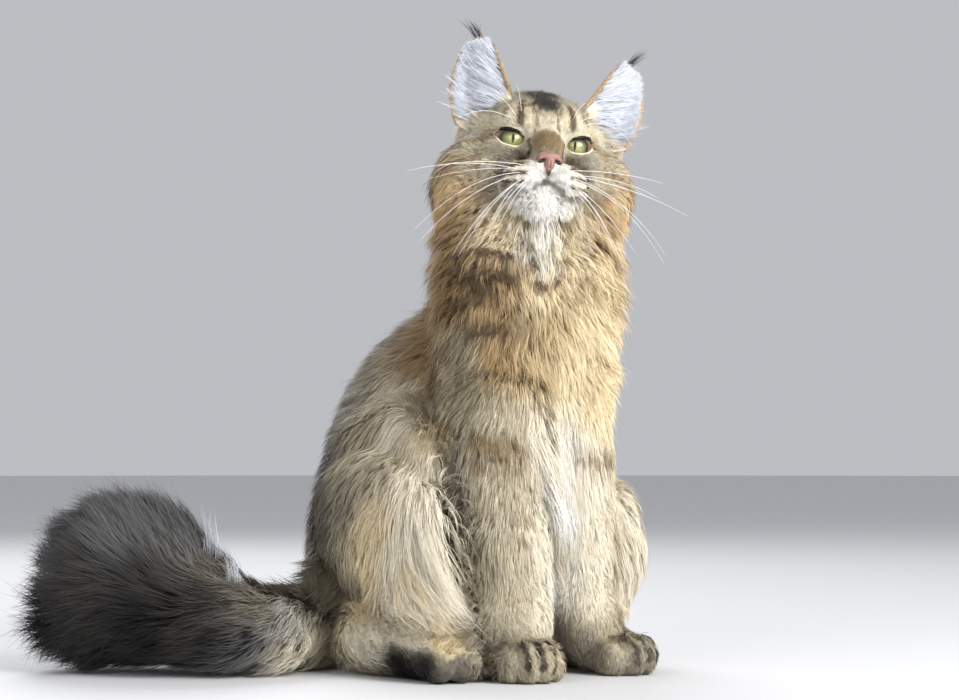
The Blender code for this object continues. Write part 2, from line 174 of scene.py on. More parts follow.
def noseMaterial():
    made, nodes, links, shader = newMaterial("noseLeather")
    links.new(addTint(nodes), shader.inputs["Base Color"])
    where = nodes.new("ShaderNodeTexCoord")
    pebbles = nodes.new("ShaderNodeTexVoronoi")
    setInputs(pebbles, {"Scale": 1300})
    links.new(where.outputs["Object"], pebbles.inputs["Vector"])
    lift = nodes.new("ShaderNodeBump")
    setInputs(lift, {"Strength": 0.35, "Distance": 0.0003})
    links.new(pebbles.outputs["Distance"], lift.inputs["Height"])
    links.new(lift.outputs["Normal"], shader.inputs["Normal"])
    setInputs(shader, {"Roughness": 0.42, "Specular IOR Level": 0.55})
    return made


# Meshes
def newObject(name, mesh, material):
    if not mesh.has_custom_normals:
        mesh.shade_smooth()
    made = bpy.data.objects.new(name, mesh)
    bpy.context.scene.collection.objects.link(made)
    mesh.materials.append(material)
    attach(made, "root")
    return made


def settled(obj):  # the mesh that an object's modifiers make
    bpy.context.view_layer.update()
    graph = bpy.context.evaluated_depsgraph_get()
    return bpy.data.meshes.new_from_object(obj.evaluated_get(graph))


def pointsOf(mesh):
    found = np.empty(len(mesh.vertices) * 3, np.float32)
    mesh.vertices.foreach_get("co", found)
    return found.reshape(-1, 3).astype(float)


def normalsOf(mesh):
    found = np.empty(len(mesh.vertices) * 3, np.float32)
    mesh.vertex_normals.foreach_get("vector", found)
    return found.reshape(-1, 3).astype(float)


def movePoints(mesh, points):
    mesh.vertices.foreach_set("co", np.asarray(points, np.float32).ravel())
    mesh.update()


def paint(mesh, colours):
    layer = mesh.color_attributes.new("tint", "FLOAT_COLOR", "POINT")
    full = np.ones((len(colours), 4), np.float32)
    full[:, :3] = np.clip(colours, 0.002, 0.95)
    layer.data.foreach_set("color", full.ravel())


def meshFrom(bm, name):
    mesh = bpy.data.meshes.new(name)
    bm.to_mesh(mesh)
    bm.free()
    return mesh


def voxelSkin(bm, name, voxel, times):
    # one closed skin round lumps that overlap, evened out a number of times
    rough = bpy.data.objects.new(name, meshFrom(bm, name))
    bpy.context.scene.collection.objects.link(rough)
    remesh = rough.modifiers.new("Remesh", "REMESH")
    remesh.mode = "VOXEL"
    remesh.voxel_size = voxel
    smooth = rough.modifiers.new("Smooth", "SMOOTH")
    smooth.factor = 0.5
    smooth.iterations = times
    mesh = settled(rough)
    bpy.data.objects.remove(rough)
    return mesh


def addRing(bm, sides, radius, matrix, capped=False):
    ring = bmesh.ops.create_circle(bm, cap_ends=capped, segments=sides, radius=radius, matrix=matrix)["verts"]
    linked = dict.fromkeys(e for v in ring for e in v.link_edges)  # in the same order on each run
    return [e for e in linked if set(e.verts) <= set(ring)]


def bridgeRings(bm, rings):
    for low, high in zip(rings, rings[1:]):
        bmesh.ops.bridge_loops(bm, edges=low + high)


def addLimb(bm, rows, across=(1, 0, 0), sides=24):
    # rings along a smooth path through centre, half width and half depth, with round ends
    path = smoothPath(rows, 5)
    across = Vector(across)
    rings = []
    for k, row in enumerate(path):
        way = Vector(path[min(k + 1, len(path) - 1)][:3] - path[max(k - 1, 0)][:3]).normalized()
        rings.append((Vector(row[:3]), way, row[3], row[4]))
    for end, sign in ((0, -1), (-1, 1)):
        centre, way, wide, deep = rings[end]
        more = []
        for k in (1, 2, 3):
            lean = math.pi / 2 * k / 3.4
            reach = 0.6 * (wide + deep) / 2 * math.sin(lean)
            more.append((centre + way * sign * reach, way, wide * math.cos(lean), deep * math.cos(lean)))
        rings = more[::-1] + rings if end == 0 else rings + more
    loops = []
    for k, (centre, way, wide, deep) in enumerate(rings):
        side = (across - across.dot(way) * way).normalized()
        front = way.cross(side)
        turn = Matrix((side * wide, front * deep, way)).transposed().to_4x4()
        capped = k in (0, len(rings) - 1)
        loops.append(addRing(bm, sides, 1, Matrix.Translation(centre) @ turn, capped))
    bridgeRings(bm, loops)


def addLump(bm, centre, radii, turn=None, tilt=0.0, segments=28):
    matrix = Matrix.Translation(centre) @ (turn or Matrix())
    matrix = matrix @ Matrix.Rotation(math.radians(tilt), 4, "X") @ Matrix.Diagonal((*radii, 1))
    bmesh.ops.create_uvsphere(
        bm, u_segments=segments, v_segments=segments // 2 + 2, radius=1, matrix=matrix
    )


# The flesh under the coat: x, y, z, half width and half depth
flesh = {
    "trunk": [
        (0.000, 0.192, 0.034, 0.046, 0.046), (0.000, 0.178, 0.074, 0.060, 0.059),
        (0.000, 0.160, 0.126, 0.058, 0.066), (0.000, 0.135, 0.171, 0.054, 0.067),
        (0.002, 0.104, 0.204, 0.046, 0.052), (0.002, 0.070, 0.230, 0.038, 0.036),
        (-0.006, 0.040, 0.270, 0.040, 0.034), (-0.010, 0.036, 0.314, 0.044, 0.038),
    ],
    "chest": [
        (-0.001, 0.042, 0.100, 0.034, 0.024), (-0.004, 0.044, 0.140, 0.048, 0.037),
        (-0.004, 0.045, 0.180, 0.049, 0.042), (-0.006, 0.041, 0.215, 0.048, 0.042),
        (-0.010, 0.034, 0.252, 0.050, 0.044), (-0.012, 0.031, 0.288, 0.049, 0.043),
        (-0.012, 0.031, 0.320, 0.046, 0.038),
    ],
    "forelegRight": [
        (-0.024, 0.040, 0.232, 0.018, 0.024), (-0.031, 0.037, 0.200, 0.024, 0.032),
        (-0.035, 0.033, 0.165, 0.026, 0.034), (-0.037, 0.028, 0.126, 0.0270, 0.0315),
        (-0.035, 0.025, 0.090, 0.0250, 0.0285), (-0.032, 0.024, 0.056, 0.0235, 0.0265),
        (-0.034, 0.016, 0.028, 0.0225, 0.0245),
    ],
    "forelegLeft": [
        (0.014, 0.040, 0.232, 0.018, 0.024), (0.020, 0.037, 0.200, 0.024, 0.032),
        (0.023, 0.033, 0.165, 0.025, 0.033), (0.025, 0.028, 0.126, 0.0230, 0.0290),
        (0.027, 0.025, 0.090, 0.0200, 0.0255), (0.028, 0.024, 0.056, 0.0185, 0.0245),
        (0.033, 0.016, 0.028, 0.0205, 0.0235),
    ],
    "thigh": [
        (-0.048, 0.160, 0.095, 0.031, 0.048), (-0.065, 0.120, 0.102, 0.031, 0.050),
        (-0.077, 0.086, 0.103, 0.025, 0.039), (-0.082, 0.066, 0.103, 0.019, 0.031),
    ],
    "flank": [
        (-0.034, 0.165, 0.128, 0.030, 0.046), (-0.046, 0.125, 0.142, 0.026, 0.040),
        (-0.056, 0.090, 0.140, 0.020, 0.032), (-0.066, 0.068, 0.128, 0.014, 0.022),
    ],
    "shank": [
        (-0.081, 0.070, 0.112, 0.019, 0.031), (-0.083, 0.068, 0.080, 0.016, 0.031),
        (-0.085, 0.066, 0.045, 0.015, 0.028), (-0.085, 0.052, 0.026, 0.014, 0.025),
    ],
    "hindFoot": [
        (-0.087, 0.110, 0.024, 0.021, 0.020), (-0.086, 0.088, 0.022, 0.022, 0.020),
        (-0.084, 0.060, 0.020, 0.022, 0.018), (-0.083, 0.034, 0.016, 0.021, 0.015),
    ],
    "tail": [
        (0.004, 0.215, 0.036, 0.022, 0.022), (-0.054, 0.204, 0.029, 0.022, 0.019),
        (-0.102, 0.172, 0.027, 0.025, 0.018), (-0.144, 0.163, 0.030, 0.026, 0.019),
        (-0.178, 0.190, 0.043, 0.034, 0.028), (-0.200, 0.226, 0.058, 0.038, 0.038),
        (-0.209, 0.245, 0.058, 0.032, 0.034),
    ],
    "thighLeft": (0.002, -0.003, 0.0),  # how the left leg is shifted from the mirrored right one
    "footLeft": (-0.018, 0.030, 0.0),
    "pawRight": ((-0.039, 0.003, 0.0), -17.0),
    "pawLeft": ((0.044, 0.004, 0.0), 5.0),
    "pawHalf": (0.0225, 0.0325, 0.0150),
    "toes": [  # across, along and high, in half sizes of the paw
        (-0.72, -0.32, 0.84), (-0.25, -0.62, 0.94), (0.25, -0.62, 0.94), (0.72, -0.32, 0.84),
    ],
    "voxel": 0.0029,
}
# In the head's own frame: centre, radii and tilt. Those off the middle are made on both sides.
headFlesh = [
    ((0, 0.008, 0.006), (0.0470, 0.0460, 0.0460), 0),  # cranium
    ((0, -0.019, 0.0105), (0.0400, 0.0325, 0.0310), 0),  # brow
    ((0, 0.020, -0.016), (0.0540, 0.0340, 0.0400), 0),  # nape
    ((0.037, -0.004, -0.015), (0.0265, 0.0325, 0.0300), 0),  # cheek
    ((0.026, -0.0355, -0.006), (0.0170, 0.0134, 0.0150), 0),  # under the eye
    ((0.0120, -0.0578, -0.0230), (0.0152, 0.0184, 0.0118), 0),  # whisker pad
    ((0, -0.0455, 0.0035), (0.0118, 0.0256, 0.0143), 24),  # bridge of the nose
    ((0, -0.0685, -0.0145), (0.0082, 0.0074, 0.0072), 0),  # end of the nose
    ((0, -0.0470, -0.0340), (0.0185, 0.0205, 0.0120), 0),  # lower jaw
    ((0, -0.0570, -0.0395), (0.0115, 0.0110, 0.0088), 0),  # chin
    ((0, -0.0060, -0.0420), (0.0360, 0.0340, 0.0230), 0),  # throat
]


def mirroredRows(rows, shift):
    return [(-r[0] + shift[0], r[1] + shift[1], r[2] + shift[2], *r[3:]) for r in rows]


def addPaw(bm, spot, degrees):
    frameHere = Matrix.Translation(spot) @ Matrix.Rotation(math.radians(degrees), 4, "Z")
    turn = frameHere.to_3x3().to_4x4()
    wide, long, tall = flesh["pawHalf"]
    addLump(bm, frameHere @ Vector((0, long * 0.22, tall * 0.98)), (wide * 0.94, long * 0.78, tall), turn)
    for across, along, high in flesh["toes"]:
        toe = frameHere @ Vector((wide * across, long * along, tall * high * 0.9))
        addLump(bm, toe, (wide * 0.27, long * 0.40, tall * high), turn, segments=16)


def addHindToes(bm, rows):
    tip, before = Vector(rows[-1][:3]), Vector(rows[-2][:3])
    along = Vector((tip.x - before.x, tip.y - before.y, 0)).normalized()
    across = Vector((-along.y, along.x, 0))
    for step in (-1, 0, 1):
        spot = tip + along * (0.016 - 0.004 * abs(step)) + across * 0.0135 * step
        spot.z = 0.0115
        turn = along.to_track_quat("-Y", "Z").to_matrix().to_4x4()
        addLump(bm, spot, (0.0074, 0.0125, 0.0120), turn, segments=16)


# Ears, in a frame of their own: +Z to the point, -Y the open side
ears = {
    "seat": {-1: (-0.0335, -0.002, 0.0300), 1: (0.0415, -0.002, 0.0290)},
    "lean": {-1: 12.0, 1: 24.0},
    "turn": 16.0,
    "tipBack": 4.0,
    "length": 0.0670,
    "halfWidth": 0.0208,
    "cup": 0.0110,
    "thick": 0.0013,
    "zone": ((-0.030, -0.014, -0.002), (0.030, 0.014, 0.072)),
}


def earFrame(side):
    return (
        headFrame @ Matrix.Translation(ears["seat"][side])
        @ Matrix.Rotation(math.radians(side * ears["turn"]), 4, "Z")
        @ Matrix.Rotation(math.radians(side * ears["lean"][side]), 4, "Y")
        @ Matrix.Rotation(math.radians(-ears["tipBack"]), 4, "X")
    )


def earWidth(rise):
    return ears["halfWidth"] * (1 - np.clip(rise, 0, 1) ** 2.1) ** 0.60 + 0.0006


def earPoint(side, across, up):  # across -1 at the inner edge to 1 at the outer, up 0 to 1
    up = np.clip(up, -0.2, 1)
    rise = np.maximum(up, 0)
    wide = earWidth(rise) * (1 + 2.5 * np.minimum(up, 0))
    cup = ears["cup"] * (1 - rise) ** 0.8 + 0.0015
    lean = 0.004 * np.sin(math.pi * rise) + 0.03 * np.minimum(up, 0)
    x = side * (across * wide + lean)
    y = 0.0055 - cup * across ** 2 + 0.003 * rise
    return np.stack([x, y, ears["length"] * up], -1)


def makeEarSheet(side):
    bm = bmesh.new()
    bmesh.ops.create_grid(bm, x_segments=22, y_segments=34, size=1)
    for v in bm.verts:
        v.co = Vector(earPoint(side, v.co.x, (v.co.y + 1) / 2 * 1.12 - 0.12))
    bmesh.ops.recalc_face_normals(bm, faces=bm.faces)
    bmesh.ops.solidify(bm, geom=bm.faces[:], thickness=ears["thick"])
    bmesh.ops.transform(bm, matrix=earFrame(side), verts=bm.verts)
    bmesh.ops.recalc_face_normals(bm, faces=bm.faces)
    return bm


# Eyes: lids are given as outward and up, in mm, on the ball seen along its own axis
eyes = {
    "radius": 0.0112,
    "lidRadius": 0.01175,
    "centre": {-1: (-0.0206, -0.0362, 0.0085), 1: (0.0218, -0.0362, 0.0085)},
    "splay": 14.0,
    "gaze": {-1: (-0.115, -0.988, -0.099), 1: (-0.150, -0.980, -0.120)},
    "lids": [
        (12.8, 4.8), (8.6, 6.3), (1.35, 5.7), (-5.9, 3.0),
        (-11.8, -1.8), (-7.4, -5.0), (-1.8, -6.3), (6.8, -3.6),
    ],
    "underLids": 0.0086,
    "iris": 0.0076,
    "pupil": (0.00085, 0.0031),
}


def eyeFrame(side):  # at the eye's middle, +X outward from the nose on either side, -Y forward
    turn = Matrix.Rotation(math.radians(side * eyes["splay"]), 4, "Z")
    return headFrame @ Matrix.Translation(eyes["centre"][side]) @ turn @ Matrix.Diagonal((side, 1, 1, 1))


def lidOutline(steps=6):
    return smoothPath(eyes["lids"], steps, closed=True) / 1000


def beyondLids(outward, up):  # how far a point lies outside the lids' outline; inside is below 0
    outline = lidOutline(8)
    angles = np.arctan2(outline[:, 1], outline[:, 0])
    order = np.argsort(angles)
    reach = np.interp(np.arctan2(up, outward), angles[order], np.hypot(*outline.T)[order], period=2 * math.pi)
    return np.hypot(outward, up) - reach


lips = {
    "side": [
        (0, -0.0720, -0.0285), (0.008, -0.0690, -0.0330),
        (0.018, -0.0590, -0.0365), (0.025, -0.0480, -0.0352),
    ],
    "middle": [(0, -0.0770, -0.0205), (0, -0.0755, -0.0250), (0, -0.0720, -0.0285)],
    "deep": 0.0030,
    "half": 0.0017,
}
# Swells and hollows of the face, on both sides: centre, radii, lift and way
faceForms = [
    ((0.020, -0.044, 0.021), (0.014, 0.012, 0.0055), 0.0016, (0, -0.8, 0.5)),  # brow
    ((0.0105, -0.052, 0.006), (0.0040, 0.010, 0.008), 0.0018, (0, 0.9, 0.0)),  # beside the bridge
    ((0.026, -0.052, -0.010), (0.010, 0.012, 0.005), 0.0010, (0, 0.7, 0.3)),  # under the eye
]
faceZones = [  # the boxes in the head's frame whose skin is cut finer
    ((-0.050, -0.12, -0.058), (0.050, -0.020, 0.040)),
    ((-0.036, -0.12, -0.042), (0.036, -0.030, 0.022)),
]


def lipGap(local):  # how far a point of the head's frame lies from the mouth line
    side = smoothPath(lips["side"], 6)
    groove = np.concatenate([side, side * (-1, 1, 1), smoothPath(lips["middle"], 6)])
    return np.sqrt(((local[:, None] - groove[None]) ** 2).sum(2)).min(1)



def sculptHead(points):
    # opens the lids over the eyes, and shapes the brows, the mouth and the groove under the nose
    local = toLocal(points, headFrame)
    near = local[:, 1] < 0.02
    for side in (-1, 1):
        for centre, radii, lift, way in faceForms:
            far = (((local - np.array(centre) * (side, 1, 1)) / radii) ** 2).sum(1)
            local[near] += (lift * np.exp(-far))[near, None] * np.array(way)
    points = toWorld(local, headFrame)
    for side in (-1, 1):
        seen = toLocal(points, eyeFrame(side))
        out = beyondLids(seen[:, 0], seen[:, 2])
        reach = np.linalg.norm(seen, axis=1)
        ahead = (seen[:, 1] < 0.003) & (reach < 0.024)
        wall = eyes["lidRadius"] + 0.0003 + 0.30 * np.clip(out, 0, None)
        blend = smoothStep(0.0062, 0.0008, out)
        aim = np.where(out < 0, eyes["underLids"], reach * (1 - blend) + wall * blend)
        factor = np.where(ahead, aim / np.maximum(reach, 1e-6), 1)
        points = toWorld(seen * factor[:, None], eyeFrame(side))
    local = toLocal(points, headFrame)
    near = np.where((np.abs(local[:, 0]) < 0.035) & (local[:, 1] < -0.035) & (local[:, 2] < -0.012))[0]
    local[near, 1] += lips["deep"] * np.exp(-(lipGap(local[near]) / lips["half"]) ** 2)
    return toWorld(local, headFrame)


def fleshMesh():
    bm = bmesh.new()
    for name in ("trunk", "chest", "forelegRight", "forelegLeft"):
        addLimb(bm, flesh[name])
    addPaw(bm, *flesh["pawRight"])
    addPaw(bm, *flesh["pawLeft"])
    thighShift, footShift = np.array(flesh["thighLeft"]), np.array(flesh["footLeft"])
    leftLeg = [mirroredRows(flesh["thigh"], thighShift), mirroredRows(flesh["flank"], thighShift)]
    shank = mirroredRows(flesh["shank"][:2], thighShift)
    shank += mirroredRows(flesh["shank"][2:], thighShift + footShift / 2)
    leftLeg += [shank, mirroredRows(flesh["hindFoot"], footShift)]
    for leg in ([flesh[name] for name in ("thigh", "flank", "shank", "hindFoot")], leftLeg):
        for rows in leg:
            addLimb(bm, rows)
        addHindToes(bm, leg[-1])
    addLimb(bm, flesh["tail"], across=(0, 1, 0.2))
    bmesh.ops.transform(bm, matrix=catFrame, verts=bm.verts)
    turn = headFrame.to_3x3().to_4x4()
    for centre, radii, tilt in headFlesh:
        for side in ((-1, 1) if centre[0] else (1,)):
            addLump(bm, headFrame @ Vector((side * centre[0], *centre[1:])), radii, turn, tilt)
    bmesh.ops.recalc_face_normals(bm, faces=bm.faces)
    return voxelSkin(bm, "skinStart", flesh["voxel"], 3)


def makeSkin():
    mesh = fleshMesh()

    # the face is cut finer, twice over round the eyes and muzzle
    bm = bmesh.new()
    bm.from_mesh(mesh)
    inverse = headFrame.inverted()
    for low, high in faceZones:
        zone = []
        for face in bm.faces:
            spot = inverse @ face.calc_center_median()
            if all(a < b < c for a, b, c in zip(low, spot, high)):
                zone.append(face)
        edges = dict.fromkeys(e for face in zone for e in face.edges)
        bmesh.ops.subdivide_edges(bm, edges=list(edges), cuts=1, use_grid_fill=True)
    inner = [v for v in bm.verts if (inverse @ v.co).y < -0.02 and (inverse @ v.co).z > -0.06]
    for again in range(3):
        bmesh.ops.smooth_vert(bm, verts=inner, factor=0.5, use_axis_x=True, use_axis_y=True, use_axis_z=True)
    bmesh.ops.triangulate(bm, faces=[f for f in bm.faces if len(f.verts) > 4])
    bm.to_mesh(mesh)
    bm.free()
    points = sculptHead(pointsOf(mesh))
    points[:, 2] = np.maximum(points[:, 2], 0.0012)
    movePoints(mesh, points)

    bm = bmesh.new()
    bm.from_mesh(mesh)
    ears["firstPoint"] = len(bm.verts)
    for side in (-1, 1):
        bm.from_mesh(meshFrom(makeEarSheet(side), "earSheet"))
    bm.to_mesh(mesh)
    bm.free()
    mesh.name = "skin"
    skin = newObject("skin", mesh, skinMaterial)
    bpy.context.view_layer.objects.active = skin
    skin.select_set(True)
    mesh.uv_layers.new(name="OFBake")
    bpy.ops.object.mode_set(mode="EDIT")
    bpy.ops.mesh.select_all(action="SELECT")
    bpy.ops.uv.smart_project(angle_limit=math.radians(66), island_margin=0.001)
    bpy.ops.object.mode_set(mode="OBJECT")
    skin.select_set(False)
    print("skin", len(mesh.vertices), "points", len(mesh.polygons), "faces")
    return skin


# Tints of the coat, and how strongly its hairs are ticked with dark tips
tones = {
    "white": (linear(248, 245, 238), 0.02),
    "snow": (linear(202, 205, 213), 0.0),
    "cream": (linear(240, 230, 208), 0.08),
    "sand": (linear(236, 218, 180), 0.08),
    "tan": (linear(216, 193, 152), 0.22),
    "ginger": (linear(202, 173, 130), 0.28),
    "tawny": (linear(172, 146, 110), 0.36),
    "russet": (linear(164, 134, 92), 0.36),
    "brown": (linear(138, 114, 80), 0.35),
    "umber": (linear(80, 62, 48), 0.25),
    "fawn": (linear(214, 202, 174), 0.28),
    "agouti": (linear(198, 186, 158), 0.42),
    "grey": (linear(166, 156, 137), 0.45),
    "slate": (linear(122, 115, 103), 0.42),
    "ash": (linear(196, 191, 180), 0.25),
    "silver": (linear(94, 94, 94), 0.30),
    "smoke": (linear(66, 62, 59), 0.35),
    "soot": (linear(52, 50, 48), 0.25),
    "black": (linear(24, 22, 22), 0.20),
}
# What each part of the coat is like, from the forepaws: x, y, z and tone
bodyTints = [
    # the right side of the ruff, in ginger and russet: partly its own colour and partly painted shade of the
    # side turned from the key light
    (-85, 30, 275, "russet"), (-80, 0, 262, "ginger"), (-66, -18, 262, "ginger"),
    (-87, 40, 245, "russet"), (-76, 0, 240, "ginger"), (-52, -28, 250, "sand"), (-30, -38, 262, "sand"),
    (-10, -42, 270, "sand"), (20, -36, 270, "sand"), (50, -10, 275, "tan"), (66, 30, 270, "tan"),
    (-5, -38, 236, "sand"), (35, -20, 225, "sand"), (-34, -28, 222, "tan"), (-36, -12, 198, "tan"),
    (-10, -18, 200, "sand"), (30, -10, 180, "sand"), (-62, 0, 212, "ginger"), (-74, 25, 212, "agouti"),
    (-68, 40, 185, "agouti"), (-68, 30, 155, "agouti"), (-54, -3, 165, "fawn"), (-30, -8, 165, "cream"),
    (-12, -6, 140, "white"), (-55, 0, 125, "fawn"), (-68, 22, 110, "agouti"), (-64, 20, 70, "agouti"),
    (-50, -4, 80, "fawn"), (-36, -8, 90, "cream"), (-20, -4, 80, "cream"), (-4, 4, 100, "white"),
    (-6, 10, 60, "white"), (-46, -4, 50, "fawn"), (-30, -6, 45, "cream"), (10, -4, 120, "cream"),
    (25, -6, 90, "cream"), (20, -6, 50, "cream"), (50, 20, 90, "sand"), (52, 30, 140, "sand"),
    (50, 20, 50, "fawn"), (-50, -20, 26, "agouti"), (-40, -28, 12, "agouti"), (-64, 0, 14, "grey"),
    (30, -14, 28, "agouti"), (45, -26, 14, "grey"), (22, 0, 14, "grey"), (64, 0, 16, "agouti"),
    (-68, 98, 215, "russet"), (-60, 76, 195, "russet"), (-50, 90, 245, "russet"),
    (0, 105, 255, "brown"), (0, 165, 215, "slate"), (-56, 165, 200, "grey"), (-30, 200, 180, "slate"),
    (0, 235, 130, "slate"), (-60, 190, 140, "slate"), (-66, 190, 90, "slate"), (0, 250, 70, "slate"),
    (-63, 104, 178, "cream"), (-56, 81, 167, "cream"), (-78, 108, 160, "cream"),
    (-74, 126, 172, "fawn"), (-63, 76, 146, "sand"), (-64, 60, 156, "sand"), (-111, 72, 95, "sand"),
    (-85, 130, 150, "agouti"), (-104, 90, 135, "agouti"), (-90, 85, 150, "fawn"),
    (-90, 60, 142, "cream"), (-83, 40, 135, "cream"), (-106, 50, 110, "cream"), (-98, 28, 95, "cream"),
    (-85, 25, 110, "cream"), (-111, 50, 70, "cream"), (-98, 26, 58, "cream"), (-112, 85, 95, "sand"),
    (-110, 120, 110, "grey"), (-100, 160, 100, "slate"), (-108, 90, 60, "sand"),
    (-95, 135, 50, "agouti"), (-80, 20, 45, "cream"), (-107, 40, 36, "cream"), (-108, 75, 30, "cream"),
    (-92, 14, 28, "sand"), (-104, 50, 10, "black"), (-108, 25, 10, "soot"), (-90, 6, 10, "slate"),
    # painted shade in the gap between the right foreleg and the thigh
    (-60, 40, 90, "smoke"), (-60, 60, 120, "smoke"),
]
leftTints = [  # the left side's own, in place of the mirrored right
    (84, 18, 110, "cream"), (82, 18, 85, "cream"), (78, 22, 60, "cream"), (100, 50, 100, "fawn"),
    (104, 90, 110, "agouti"), (100, 150, 100, "grey"), (90, 60, 140, "fawn"), (78, 110, 170, "agouti"),
    (66, 100, 210, "tawny"), (60, 165, 195, "grey"), (60, 190, 120, "slate"), (50, 80, 245, "tawny"),
    (78, 60, 30, "sand"), (72, 75, 10, "slate"), (85, 120, 50, "agouti"), (66, 60, 220, "tawny"),
    (56, 50, 180, "fawn"),
]
tailTints = [
    (4, 240, 50, "slate"), (-60, 220, 50, "slate"), (-80, 180, 62, "grey"), (-100, 150, 55, "grey"),
    (-100, 130, 20, "cream"), (-135, 112, 45, "ash"), (-140, 112, 8, "cream"), (-156, 105, 34, "ash"),
    (-176, 120, 52, "slate"), (-182, 112, 26, "silver"), (-150, 150, 72, "slate"),
    (-187, 130, 8, "silver"), (-185, 150, 80, "slate"), (-208, 140, 55, "soot"),
    (-207, 133, 26, "soot"), (-237, 172, 32, "black"), (-237, 172, 70, "soot"), (-250, 190, 20, "soot"),
    (-242, 200, 100, "silver"), (-208, 194, 118, "silver"), (-190, 175, 100, "silver"),
    (-262, 218, 78, "smoke"), (-265, 241, 36, "soot"), (-200, 280, 70, "silver"),
    (-200, 270, 30, "smoke"), (-235, 260, 80, "silver"), (-160, 230, 60, "silver"),
    (-140, 200, 40, "slate"),
]
headTints = [  # in the head's frame; used on both sides
    (0, -60, 3, "brown"), (0, -52, 18, "cream"), (0, -40, 36, "slate"), (0, -10, 52, "slate"),
    (0, 40, 40, "slate"), (20, -36, 34, "agouti"), (25, -42, 24, "fawn"), (32, -20, 38, "grey"),
    (42, -18, 24, "fawn"), (40, -30, 12, "agouti"), (50, -12, 12, "ash"), (52, -20, 0, "agouti"),
    (30, -48, -4, "grey"), (44, -34, -10, "agouti"), (36, -45, -20, "fawn"), (22, -64, -14, "agouti"),
    (20, -70, -24, "cream"), (8, -76, -20, "white"), (12, -74, -30, "white"), (0, -66, -40, "white"),
    (12, -58, -46, "white"), (30, -50, -36, "cream"), (48, -36, -30, "ginger"),
    (60, -18, -12, "ginger"), (66, -12, -35, "ginger"), (56, -30, -50, "ginger"),
    (0, -52, -60, "cream"), (24, -56, -60, "sand"), (40, 20, 30, "grey"), (50, 40, -10, "tawny"),
    (0, 62, 0, "brown"), (0, 70, -40, "brown"),
]
# Marks over the tints, some of them painted shade in folds, gaps and the mouth line: a path or a spot, its
# half width, tone and strength, and on the head a 1 for those on both sides
headMarksAndShade = [
    ([(-1, -18, 52), (0, -42, 35)], 11, "black", 0.85, 0),
    ([(16, -34, 39), (17.8, -47, 24), (18.2, -50, 18)], 2.4, "umber", 0.9, 1),
    ([(12.8, -44, 30), (13, -50.5, 20)], 2, "sand", 0.7, 1),
    ([(23.5, -40, 29), (24.5, -45, 22)], 2.6, "cream", 0.6, 1),
    ([(27, -33, 34), (30, -39, 27)], 1.8, "brown", 0.7, 1),
    ([(7.8, -44, 32), (7, -52, 22), (9.2, -54.5, 11)], 1.4, "brown", 0.65, 1),
    ([(0, -50, 26), (0, -56, 12)], 5, "fawn", 0.75, 0),
    ([(0, -61, 6.5), (0, -70, -4)], 7.4, "brown", 0.6, 0),
    ([(7.5, -68, -5), (10.5, -66, -9)], 3, "soot", 0.4, 1),
    ([(11.5, -52, 11)], 3.6, "cream", 0.9, 1),
    ([(11.2, -52, 7), (14, -57, -3), (18, -59, -8)], 2, "umber", 0.65, 1),
    ([(31, -43, 12), (40, -33, 12), (52, -16, 8), (60, 0, 0)], 2.8, "brown", 0.55, 1),
    ([(38, -44, -6), (50, -30, -8), (60, -12, -12)], 3, "brown", 0.35, 1),
    ([(35, -56, -12), (24, -66, -13), (15, -72, -13)], 1.2, "brown", 0.8, 1),
    ([(34, -56, -15.8), (24, -66, -17.2), (15.5, -72.5, -17.6)], 1.4, "umber", 0.95, 1),
    ([(34, -57, -21.8), (25, -68, -22.8), (15.5, -75.5, -23.2)], 1.4, "umber", 0.95, 1),
    ([(31, -60, -28), (24, -68, -28.6), (16.5, -74.5, -29)], 1.2, "umber", 0.75, 1),
    ([(36, -56, -19), (24, -68, -20), (16, -74, -20.4)], 1.2, "cream", 0.8, 1),
    ([(34, -58, -25), (24, -69, -25.8)], 1.2, "cream", 0.8, 1),
    ([(9, -76.5, -17.2), (7.5, -76.5, -21)], 5.4, "white", 1, 1),
    ([(6, -75.5, -26.8), (14, -73, -29)], 1.8, "silver", 0.35, 1),
    ([(0, -70, -36), (0, -64, -48)], 14, "white", 0.9, 0),
    # the mouth line and the groove under the nose: the lips' own dark edge, deepened with painted shade of
    # the crease under the whisker pads
    ([(0, -73.5, -27.5), (8, -71, -31.2), (18, -62, -35.2), (26, -48, -34.5)], 2.2, "slate", 0.7, 1),
    ([(0, -77.5, -20), (0, -74.5, -28)], 0.8, "slate", 0.6, 0),
]
